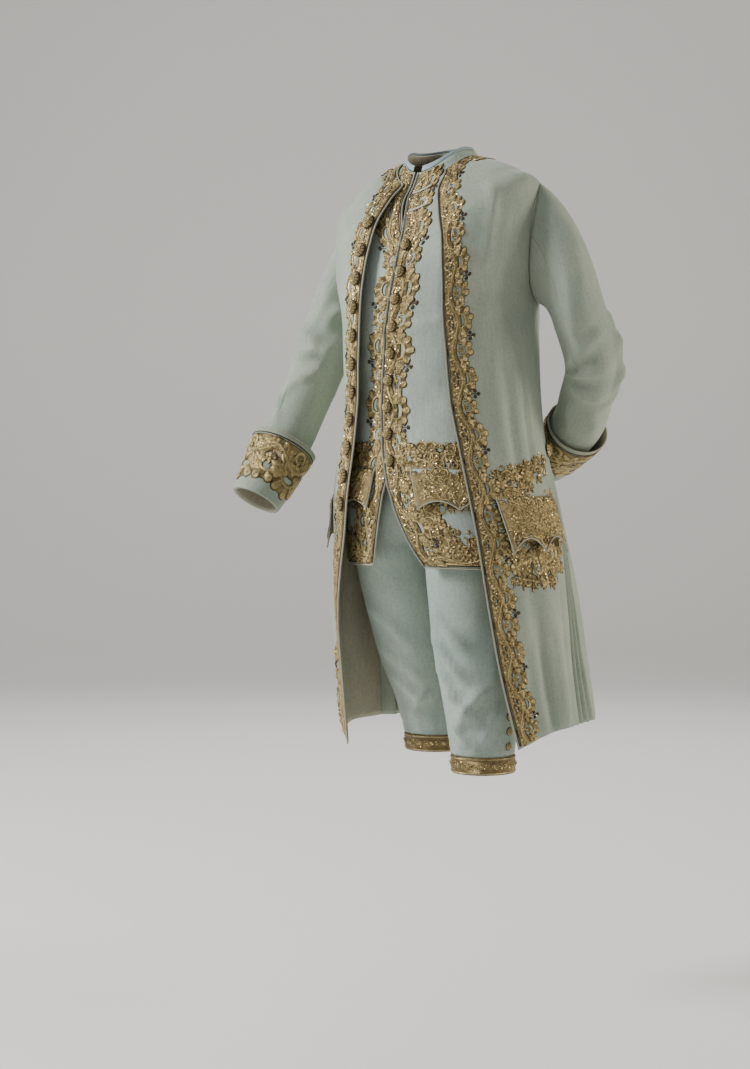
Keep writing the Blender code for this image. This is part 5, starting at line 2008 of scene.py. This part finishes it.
                # One element in seven lets the cloth show round it.
                open_ground = (3 * row + column) % 7 == 0
                if not open_ground:
                    self.pad(spot, min(0.62 * size, deep + 0.1 * size))
                if deep < 0.58 * size:
                    slope = [deep - depth(spot + shift) for shift in 0.001 * np.eye(2)]
                    heading = math.degrees(math.atan2(slope[1], slope[0]))
                    self.palmette(spot, heading, min(0.74 * size, deep + over * size), 5, 76.0)
                elif (row + 2 * column) % 3 == 0 and not open_ground:
                    self.flower(spot, 0.5 * size)
                else:
                    turn = self.chance.uniform(0.0, 360.0)
                    self.scroll(spot, 0.48 * size, turn, 290.0, 0.2 * size)
                    self.palmette(spot, turn + 200.0, 0.42 * size, 3, 50.0)
                    for way in () if open_ground else (turn + 70.0, turn + 190.0, turn + 310.0):
                        self.palmette(away(spot, way, 0.42 * size), way, min(0.3 * size, deep), 3, 50.0)

    def spangles(self, count: int) -> None:
        """Sews spangles on the elements, each tipped a little.

        Args:
            count: How many.
        """
        turns, draw = circle(7), self.chance.uniform
        faces = [(step, (step + 1) % 7, 7) for step in range(7)]
        for _ in range(count):
            x, y, up = self.chance.choice(self.sites)
            centre = (x + draw(-0.004, 0.004), y + draw(-0.004, 0.004))
            disc = spokes(turns) * draw(0.0009, 0.0013)
            rise = up + 0.0003 + disc @ (draw(-0.45, 0.45), draw(-0.45, 0.45))
            flat = np.concatenate([disc, np.zeros((1, 2))]) + centre
            self.add(flat, np.append(rise, up + 0.0001), faces, flat, np.zeros(8), Thread.SPANGLE, 1.0)

    def lay(self, name: str, strip: Strip, looks: Looks, keep: Callable[..., Array] | None = None) -> Object:
        """Lays the work on a garment as one piece.

        Args:
            name: The piece's name.
            strip: Where it lies.
            looks: The suit's finishes.
            keep: Says of points, by the surface's two numbers, whether they may stay.

        Returns:
            The piece.
        """
        ground, drawn = strip.ground, np.concatenate(self.points)
        across, along = strip.spot(drawn[:, 0], drawn[:, 1])
        points = ground.at(across, along, 0.0002 + strip.lift + drawn[:, 2])
        faces, face_looks = self.faces, self.looks
        if keep is not None:
            kept = keep(across, along)
            inside = [all(kept[corner] for corner in face) for face in faces]
            faces = [face for face, stays in zip(faces, inside) if stays]
            face_looks = [look for look, stays in zip(face_looks, inside) if stays]
        # The faces are all turned over if most of a sample look inwards.
        up = 0.0
        for face in faces[:: max(1, len(faces) // 400)]:
            spot, (a, b, c) = (across[face[0]], along[face[0]]), points[list(face[:3])]
            up += float(np.cross(b - a, c - a) @ (ground.at(*spot, 1.0) - ground.at(*spot)) > 0) - 0.5
        if up < 0:
            faces = [face[::-1] for face in faces]
        used = np.unique(np.concatenate([np.asarray(face) for face in faces]))
        number = np.full(len(points), -1)
        number[used] = np.arange(len(used))
        faces = [[int(number[corner]) for corner in face] for face in faces]
        uvs, threads = np.concatenate(self.uvs)[used], np.concatenate(self.threads)[used]
        return piece(name, points[used], faces, looks.threads(), uvs, face_looks, threads, recalculate=False)


@dataclass(frozen=True)
class ScrollBorder:
    """A running border of scrolls, in a pattern that repeats along an edge.

    The stem swings from side to side. A scroll winds into each of its hollows round a flower,
    and fans of lobes spring from its bends and make the border's outer line.

    Attributes:
        wide: How far its lobes reach from the edge.
        repeat: The length of one repeat.
        sprigs: Whether sprigs stand outside it.
        spangles: How many spangles each repeat has.
    """

    wide: float = 0.054
    repeat: float = 0.097
    sprigs: bool = True
    spangles: int = 50

    def work(self, work: Needlework, length: float) -> None:
        """Works the border in the drawing's frame.

        Args:
            work: The needlework to add it to.
            length: How far it runs along x.
        """
        wide, count = self.wide, max(1, round(length / self.repeat))
        repeat = length / count
        line = np.linspace(0.0, length, max(8, round(length / 0.006)))
        work.ribbon(level(line, 0.055 * wide), 0.035 * wide, 0.0012, Thread.CHENILLE, tone=0.85)
        work.ribbon(level(line, 0.15 * wide), 0.15 * wide, 0.0008, tone=0.1)
        x = np.linspace(0.0, length, count * 24 + 1)
        stem = level(x, wide * (0.33 + 0.12 * np.sin(2.0 * math.pi * x / repeat)))
        work.ribbon(stem, wide * 0.32, 0.0008, tone=0.1)
        work.ribbon(stem, wide * 0.09, 0.002, base=0.0002, tone=0.6)
        for number in range(count):
            self.one_repeat(work, number * repeat, repeat)
        work.seeds(round(length * wide * 9000), (0.0, 0.12 * wide), (length, 0.5 * wide))
        work.spangles(self.spangles * count)

    def one_repeat(self, work: Needlework, start: float, repeat: float) -> None:
        """Works the shell, fans, scrolls, flowers, leaves and sprig of one repeat.

        Args:
            work: The needlework.
            start: Where the repeat starts along x.
            repeat: Its length.
        """
        wide = self.wide
        # Each fan: its place as a share of the repeat and of the width, its heading, size and lobes.
        for along, out, heading, size, lobes in (
            (0.5, 0.46, 84.0, 0.27, 3), (1.00, 0.46, 96.0, 0.27, 3), (0.75, 0.24, 270.0, 0.15, 3),
            (0.62, 0.28, 258.0, 0.19, 3), (0.88, 0.28, 282.0, 0.19, 3), (0.49, 0.32, 262.0, 0.22, 4),
            (0.01, 0.32, 278.0, 0.22, 4), (0.11, 0.34, 240.0, 0.19, 3), (0.39, 0.34, 300.0, 0.19, 3),
        ):
            way, spread = heading + work.chance.uniform(-4.0, 4.0), 62.0 if lobes > 3 else 46.0
            work.palmette((start + along * repeat, out * wide), way, size * wide, lobes, spread)
        near, far = start + 0.25 * repeat, start + 0.75 * repeat
        work.scroll((near, 0.24 * wide), 0.115 * wide, 12.0, -285.0, 0.08 * wide, 0.45)
        work.flower((near, 0.24 * wide), 0.05 * wide, 5)
        work.shell((near, 0.49 * wide), 0.49 * wide, 5)
        work.shell((far, 0.5 * wide), 0.37 * wide, 4, 66.0)
        work.flower((far, 0.46 * wide), 0.1 * wide, 5)
        for share in (0.04, 0.46, 0.54, 0.62, 0.9, 0.96):
            slope = math.degrees(math.atan(0.24 * math.pi * wide / repeat * math.cos(2 * math.pi * share)))
            root = (start + repeat * share, wide * (0.33 + 0.12 * math.sin(2 * math.pi * share)))
            for way in (-1.0, 1.0):
                lean = slope + way * work.chance.uniform(36.0, 56.0)
                work.leaf(root, lean, wide * 0.17, wide * 0.075, -way * 30.0, Thread.GILT, 0.0015)
        if self.sprigs:
            work.sprig((start + repeat * 0.52, wide * 0.66), 88.0, wide * 0.34)


def cord(
    name: str, lattice: Lattice, across: Any, along: Any, look: Material, radius: float = 0.0018,
    lift: float = -0.0006,
) -> None:
    """Sews a round cord along a line on a garment. Its middle stands off the surface by the lift."""
    points, faces, uv = tube(lattice.at(across, along, lift), radius)
    stand(piece(name, points, faces, [look], uv))


@dataclass(frozen=True)
class DomedButton:
    """A domed button worked over in basket stitch, with a flat ring of brown chenille round its foot."""

    name: str
    centre: Array
    normal: Array
    radius: float
    height: float
    sides: int = 36

    def build(self, looks: Looks, nodes: Sequence[str] = ()) -> None:
        """Makes the button.

        Args:
            looks: The suit's finishes.
            nodes: The solid that it stands for.
        """
        aside, sides = unit(np.cross(self.normal, (0.0, 0.0, 1.0))), self.sides
        upward = np.cross(aside, self.normal)
        turns = circle(sides)
        spoke = np.cos(turns)[:, None] * aside + np.sin(turns)[:, None] * upward
        dome = np.linspace(1.0, 0.0, 11)[:-1]
        rings, rises = np.append([0.55, 1.12], dome), np.append([0.0, 0.1], np.sqrt(1.0 - dome**2) * 0.85 + 0.15)
        points = []
        for number, (ring, rise) in enumerate(zip(rings, rises)):
            # Basket stitch: small squares that stand up by turns.
            weave = 0.0003 * np.sign(np.sin(6.0 * turns + number // 2 * math.pi)) * ring * (number > 2)
            lobed = self.radius * ring * (1.0 + 0.05 * np.cos(9.0 * turns) * (number == 1))
            up = rise * self.height + weave
            points.append(self.centre + spoke * lobed[:, None] + self.normal * up[:, None])
        points = np.concatenate([*points, [self.centre + self.normal * self.height * 1.02]])
        faces = dome_faces(len(rings), sides)
        across = (points - self.centre) @ np.stack([aside, upward], axis=-1)
        # Dark lines part the squares.
        line = np.where(np.arange(sides) % 3 == 0, 0.85, 0.2)
        rim = [np.full(sides, 0.9) if number % 3 == 2 else line for number in range(len(rings))]
        thread = np.column_stack([np.concatenate([*rim, [0.0]]), np.ones(len(points))])
        squares = [(number // (2 * sides) + number % sides // 3) % 2 for number in range(len(faces))]
        face_looks = [Thread.CHENILLE.value] * (2 * sides) + squares[2 * sides :]
        stand(piece(self.name, points, faces, looks.threads(), across, face_looks, thread), nodes)


def clear_of_left(side: Side, across: Array, along: Array) -> Array:
    """Whether points of a front lie clear of the left one, which laps over the right."""
    return (wrapped(across) < WAISTCOAT.keyed(along)["left"] - 0.3) | (side is Side.LEFT)


@dataclass
class Trimming:
    """The needlework, cords, flaps and buttons of the coat, the waistcoat and the breeches."""

    looks: Looks
    coat: Coat
    waistcoat: Waistcoat
    breeches: Breeches
    coat_border: ScrollBorder = ScrollBorder()
    waistcoat_border: ScrollBorder = ScrollBorder(wide=0.066, repeat=0.098, spangles=110)
    narrow_border: ScrollBorder = ScrollBorder(wide=0.034, repeat=0.076, spangles=16)
    cuff_border: ScrollBorder = ScrollBorder(wide=0.102, repeat=0.116, sprigs=False, spangles=44)

    def border(
        self, name: str, strip: Strip, design: ScrollBorder, seed: int, nodes: Sequence[str] = (),
        keep: Callable[..., Array] | None = None,
    ) -> None:
        """Works a border along a strip.

        Args:
            name: The piece's name.
            strip: Where it runs.
            design: Its pattern.
            seed: What its irregularities are drawn from.
            nodes: The solids that it stands for.
            keep: Says which of its points may stay.
        """
        work = Needlework(seed, start=0.002)
        design.work(work, strip.length - 2.0 * work.start)
        stand(work.lay(name, strip, self.looks, keep), nodes)

    def fill(
        self, name: str, ground: Lattice, corners: Sequence[Pair], size: float, seed: int,
        spangles: int, nodes: Sequence[str] = (), bare: Sequence[Pair] = (), mat: bool = False,
    ) -> None:
        """Fills an outline on a garment.

        Args:
            name: The piece's name.
            ground: The garment's surface.
            corners: The outline, in the surface's two numbers.
            size: The size of the pattern's elements.
            seed: What its irregularities are drawn from.
            spangles: How many spangles it has.
            nodes: The solids that it stands for.
            bare: An outline inside it that stays plain cloth.
            mat: Whether dull thread first covers the whole outline, which the fans then keep within.
        """
        outline = np.array(corners, float)
        strip = Strip.patch(ground, tuple(outline.min(axis=0)), tuple(outline.max(axis=0)))
        work, flat = Needlework(seed), strip.flat(corners)
        if mat:
            (low_s, low_t), (high_s, high_t) = flat.min(axis=0), flat.max(axis=0)
            path = level(np.linspace(low_s + 0.001, high_s - 0.001, 80), (low_t + high_t) / 2.0)
            work.ribbon(path, high_t - low_t - 0.001, 0.0006, tone=0.3, outlined_and_shaded=False)
        work.fill(flat, size, strip.flat(bare) if bare else None, 0.0 if mat else 0.22)
        work.spangles(spangles)
        stand(work.lay(name, strip, self.looks), nodes)

    def coat_edges(self) -> None:
        """Works the coat's borders and the cords on its edges."""
        ground, cording = self.coat.ground, self.looks.cord
        for number, side in enumerate(Side):
            edge, name = partial(free_edge, COAT_OPENING, side), f"coat_border_{side.word}"
            strip = Strip.down(ground, edge, side.value, 1.02, 13.97)
            self.border(f"{name}_work", strip, self.coat_border, 11 + number, [name])
            place = np.linspace(1.0, 14.0, 330)
            cord(f"coat_edge_cord_{side.word}", ground, edge(place), place, cording)
            strip = Strip.down(ground, partial(vent_edge, side), -side.value, 9.25, 13.95)
            self.border(f"coat_vent_border_{side.word}", strip, self.narrow_border, 21 + number)
        cord("coat_neck_cord", ground, np.linspace(46.0, 339.0, 200), 1.0, cording)
        self.border("coat_neck_border", Strip.patch(ground, (64.0, 1.0), (322.0, 1.9)), self.narrow_border, 31)

    def waistcoat_edges(self) -> None:
        """Works the waistcoat's borders and the cords on its edges."""
        cording = self.looks.cord
        for number, side in enumerate(Side):
            ground, way, word = self.waistcoat.grounds[side], side.value, side.word
            edge, name = partial(free_edge, WAISTCOAT, side), f"waistcoat_border_{word}"
            strip, keep = Strip.down(ground, edge, way, 0.42, 11.38), partial(clear_of_left, side)
            self.border(f"{name}_work", strip, self.waistcoat_border, 51 + number, [name], keep)
            place = np.linspace(0.36, 11.4, 290)
            cord(f"waistcoat_edge_cord_{word}", ground, edge(place), place, cording, 0.0016)
            angle = np.linspace(edge(11.4), way * 70.0, 90)
            strip = Strip.patch(ground, (angle[0] + 2.0 * way, 11.385), (angle[-1], 10.985))
            self.border(f"waistcoat_hem_{word}_work", strip, self.narrow_border, 61 + number)
            cord(f"waistcoat_hem_cord_{word}", ground, angle, 11.4, cording, 0.0015)

    def skirts(self) -> None:
        """Works the waistcoat's skirts and the ground round the coat's pockets."""
        for number, side in enumerate(Side):
            way, word, down = side.value, side.word, np.array([8.8, 9.3, 9.8, 10.3, 10.8, 11.36])
            corners = [*zip(free_edge(WAISTCOAT, side, down) + way * 12.0, down)]
            corners += [(way * 66.0, 11.2), (way * 66.0, 8.85)]
            bare = (29.0, 10.42), (36.0, 10.3), (52.0, 10.34), (52.0, 10.8), (33.0, 10.76)
            bare = [(way * x, y) for x, y in bare]
            name, ground = f"waistcoat_skirt_{word}_work", self.waistcoat.grounds[side]
            self.fill(name, ground, corners, 0.0215, 71 + number, 420, [f"waistcoat_skirt_field_{word}"], bare)
            corners = (56.5, 9.42), (73.825, 9.36), (106.0, 9.06), (106.0, 11.42), (83.725, 11.74), (59.5, 11.6)
            bare = (79.0, 9.98), (99.0, 9.56), (108.0, 9.62), (108.0, 9.9), (92.0, 9.94)
            corners, bare = ([(way * x, y) for x, y in outline] for outline in (corners, bare))
            name, nodes = f"coat_pocket_{word}_work", [f"coat_pocket_field_{word}"]
            self.fill(name, self.coat.ground, corners, 0.0225, 81 + number, 320, nodes, bare)

    def flaps(self) -> None:
        """Makes the four pocket flaps: cloth, needlework and a cord round three sides."""
        share, down = np.linspace(0.0, 1.0, 22), np.linspace(0.0, 1.0, 30)
        across = np.concatenate([0 * down, np.linspace(0.0, 1.0, 90), 0 * down + 1.0])
        along = np.concatenate([down, np.full(90, 1.0), down[::-1]])
        corners = [(0.0, 0.0), (1.0, 0.0), (1.0, 1.0), (0.0, 1.0)]
        for number, side in enumerate(Side):
            for garment, slot, ground, patch, look in (
                ("coat", "coat_wool", self.coat.ground, COAT_FLAP, self.looks.wool),
                ("waistcoat", "waistcoat_silk", self.waistcoat.grounds[side], WAISTCOAT_FLAP, self.looks.silk),
            ):
                name = f"{garment}_flap_{side.word}"
                flap = Lattice(FlapForm(ground, side, patch), (0.0, 1.0, 121), (0.0, 1.0, 61))
                cloth(f"{name}_cloth", flap, (share, 0.0, 1.0), 44, [look], thickness=FLAP)
                self.fill(f"{name}_work", flap, corners, 0.02, 91 + number, 180, mat=True)
                cord(f"{name}_cord", flap, across, along, self.looks.cord, 0.0015, -FLAP / 2.0)

    def cuffs(self) -> None:
        """Works the cuffs and the cord on their upper edges."""
        for number, side in enumerate(Side):
            ground, name = self.coat.cuffs[side], f"coat_cuff_{side.word}"
            strip = Strip.patch(ground, (-89.0, 4.03), (269.0, 4.9))
            self.border(f"{name}_work", strip, self.cuff_border, 101 + number)
            cord(f"{name}_cord", ground, np.linspace(-90.0, 269.0, 160), 4.0, self.looks.cord, 0.0016)

    def knees(self) -> None:
        """Works the knee bands and sews the buttons above them."""
        breeches = self.breeches
        for number, side in enumerate(Side):
            low, high = breeches.knee_bottom + 0.002, breeches.knee_top - 0.002
            strip = Strip.patch(breeches.bands[side], (-179.0, low), (179.0, high))
            strip.lift = 0.0021
            work, middle, count = Needlework(111 + number), (high - low) / 2.0, round(strip.length / 0.021)
            x = np.linspace(0.0, strip.length, count * 14 + 1)
            work.ribbon(level(x, middle), 2.0 * middle - 0.001, 0.0005, Thread.PURL, tone=0.9, outlined_and_shaded=False)
            for y in (0.001, 2.0 * middle - 0.001):
                work.ribbon(level(x, y), 0.0034, 0.0018, Thread.PURL)
            for step in range(count):
                spot = ((step + 0.5) * strip.length / count, middle)
                for way, ahead in ((0.0, 0.0045), (180.0, -0.0045)):
                    work.palmette((spot[0] + ahead, middle), way, 0.0088, 5, 80.0)
                work.dome(spot, 0.0066, 0.002, Thread.GILT, 6, 0.3, 18, 0.0004, 1.0)
                work.dome(spot, 0.003, 0.0014, Thread.PURL, segments=8, base=0.0022)
            work.spangles(160)
            stand(work.lay(f"knee_band_{side.word}_work", strip, self.looks))
            for step in range(3):
                spot = (2.0, breeches.knee_top + 0.018 + 0.026 * step)
                self.sew_on(f"knee_button_{side.word}_{step + 1}", breeches.legs[side], spot, 0.0, 0.0068, 0.0045)

    def sew_on(self, name: str, ground: Lattice, spot: Pair, lift: float, radius: float, height: float) -> None:
        """Sews on a button that the frame doesn't have. Its foot stands off the surface by the lift."""
        foot, off = (ground.at(*spot, lift + more) for more in (0.0, 0.001))
        DomedButton(name, foot, unit(off - foot), radius, height).build(self.looks)

    def buttons(self) -> None:
        """Sews the buttons where the frame has them, and two more above the side pleats."""
        for garment, ground, radius, sunk in (
            ("coat", self.coat.ground, 0.011, 0.5), ("waistcoat", self.waistcoat.grounds[Side.LEFT], 0.009, 0.55),
        ):
            for name in sorted(name for name in frame["nodes"] if name.startswith(f"{garment}_button")):
                node = frame["nodes"][name]
                centre = np.array([node.matrix_world @ Vector(corner) for corner in node.bound_box]).mean(axis=0)
                far = np.linalg.norm(ground.spots - centre, axis=-1)
                normal = ground.normals[np.unravel_index(far.argmin(), far.shape)]
                foot = centre - normal * sunk * radius
                DomedButton(f"{name}_work", foot, normal, radius * 1.04, radius * 0.95).build(self.looks, [name])
        for side in Side:
            spot = (side.value * 116.0, 9.05)
            self.sew_on(f"hip_button_{side.word}", self.coat.ground, spot, 0.0004, 0.0115, 0.0095)

    def buttonholes(self) -> None:
        """Works the two buttonholes that are left undone at the waistcoat's neck."""
        edge = partial(free_edge, WAISTCOAT, Side.LEFT)
        strip = Strip.down(self.waistcoat.grounds[Side.LEFT], edge, 1.0, 0.42, 8.9)
        for number, run in enumerate((0.045, 0.09)):
            work, y = Needlework(121 + number), np.linspace(0.01, 0.048, 16)
            for shift in (-0.0011, 0.0011):
                work.ribbon(level(run + shift, y), 0.0018, 0.001, Thread.CORD, 0.003, 0.9)
            stand(work.lay(f"buttonhole_{number + 1}", strip, self.looks))

    def build(self) -> None:
        """Makes all the trimmings."""
        self.coat_edges()
        self.waistcoat_edges()
        self.skirts()
        self.flaps()
        self.cuffs()
        self.knees()
        self.buttons()
        self.buttonholes()


@dataclass(frozen=True)
class Studio:
    """The pale floor, the soft lights and the camera.

    Attributes:
        yaw: How far the camera stands round from the suit's front, in degrees.
        distance: How far it stands from the middle of the suit.
        height: How high it stands above the floor.
        lens: Its focal length in millimetres, on a 36 mm sensor.
        pan: How far it is panned left of the middle, in degrees.
        pitch: How far it is tipped down, in degrees.
        half_floor: Half the floor's width, and how far it runs towards the camera.
        bend: Where the floor starts to curve up, and the radius of its curve.
        wall: How high it rises behind.
        middle: The point that the lights face.
    """

    yaw: float = 37.8645
    distance: float = 3.6
    height: float = 0.9941
    lens: float = 68.416
    pan: float = 1.8539
    pitch: float = 2.336
    half_floor: float = 14.0
    bend: Pair = (5.0, 1.6)
    wall: float = 12.0
    middle: tuple[float, float, float] = (0.0, 0.0, -0.45)

    def ways(self) -> tuple[Vector, Vector]:
        """The level directions ahead of the camera and to its left."""
        yaw = math.radians(self.yaw)
        return Vector((-math.sin(yaw), math.cos(yaw), 0.0)), Vector((-math.cos(yaw), -math.sin(yaw), 0.0))

    def floor(self) -> None:
        """Lays a pale floor that curves up far behind the suit."""
        start, radius = self.bend
        turns = np.linspace(0.0, math.pi / 2.0, 14)[1:]
        profile = [(-self.half_floor, 0.0), (start, 0.0)]
        profile += [(start + radius * math.sin(turn), radius - radius * math.cos(turn)) for turn in turns]
        profile.append((start + radius, self.wall))
        away, left = self.ways()
        points = np.array(
            [
                away * run - left * width + Vector((0, 0, rise - ORIGIN_HEIGHT))
                for run, rise in profile
                for width in (-self.half_floor, self.half_floor)
            ]
        )
        look = Paint().build()
        faces, uvs = grid_faces(len(profile), 2), np.zeros((len(points), 2))
        piece("studio_floor", points, faces, [look], uvs, recalculate=False)

    def light(self, name: str, spot: tuple[float, float, float], size: float, power: float, colour: str) -> None:
        """Hangs a soft square light that faces the suit's middle.

        Args:
            name: Its name.
            spot: Where it hangs.
            size: The length of its side, in metres.
            power: Its power, in watts.
            colour: Its colour.
        """
        lamp = bpy.data.lights.new(name, "AREA")
        lamp.size, lamp.energy, lamp.color = size, power, linear(colour)[:3]
        self.place(name, lamp, Vector(spot), Vector(self.middle) - Vector(spot))

    def place(self, name: str, data: Any, spot: Vector, view: Vector) -> Object:
        """Places a light or a camera.

        Args:
            name: Its name.
            data: The light or the camera.
            spot: Where it stands.
            view: Which way it looks.

        Returns:
            Its object.
        """
        made = bpy.data.objects.new(name, data)
        made.location, made.rotation_mode = spot, "QUATERNION"
        made.rotation_quaternion = view.to_track_quat("-Z", "Y")
        bpy.context.scene.collection.objects.link(made)
        return made

    def build(self) -> None:
        """Makes the floor, the lights and the camera."""
        self.floor()
        self.light("key", (-2.9, -2.9, 1.8), 1.4, 310.0, "#FDFCFA")
        self.light("side", (3.5, 2.2, 1.1), 1.8, 120.0, "#FFF6E4")
        self.light("rim", (-2.4, 3.2, 1.6), 2.0, 70.0, "#FFFFFF")
        world = bpy.data.worlds.new("studio")
        world.use_nodes = True
        back = next(node for node in world.node_tree.nodes if node.type == "BACKGROUND")
        back.inputs["Color"].default_value, back.inputs["Strength"].default_value = linear("#E6E8EA"), 0.4
        bpy.context.scene.world = world
        camera = bpy.data.cameras.new("camera")
        camera.lens, camera.sensor_width = self.lens, 36.0
        (ahead, left), pan, pitch = self.ways(), math.radians(self.pan), math.radians(self.pitch)
        view = ahead * math.cos(pan) + left * math.sin(pan)
        view = view * math.cos(pitch) - Vector((0.0, 0.0, math.sin(pitch)))
        spot = ahead * -self.distance + Vector((0.0, 0.0, self.height - ORIGIN_HEIGHT))
        bpy.context.scene.camera = self.place("camera", camera, spot, view)


def main() -> None:
    """Builds the suit, garment by garment."""
    logging.basicConfig(level=logging.INFO, format="%(message)s")
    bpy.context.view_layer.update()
    Studio().build()
    looks = Looks()
    garments = Coat(looks), Waistcoat(looks), Breeches(looks)
    for garment in garments:
        garment.build()
    Trimming(looks, *garments).build()


if __name__ == "__main__":
    main()
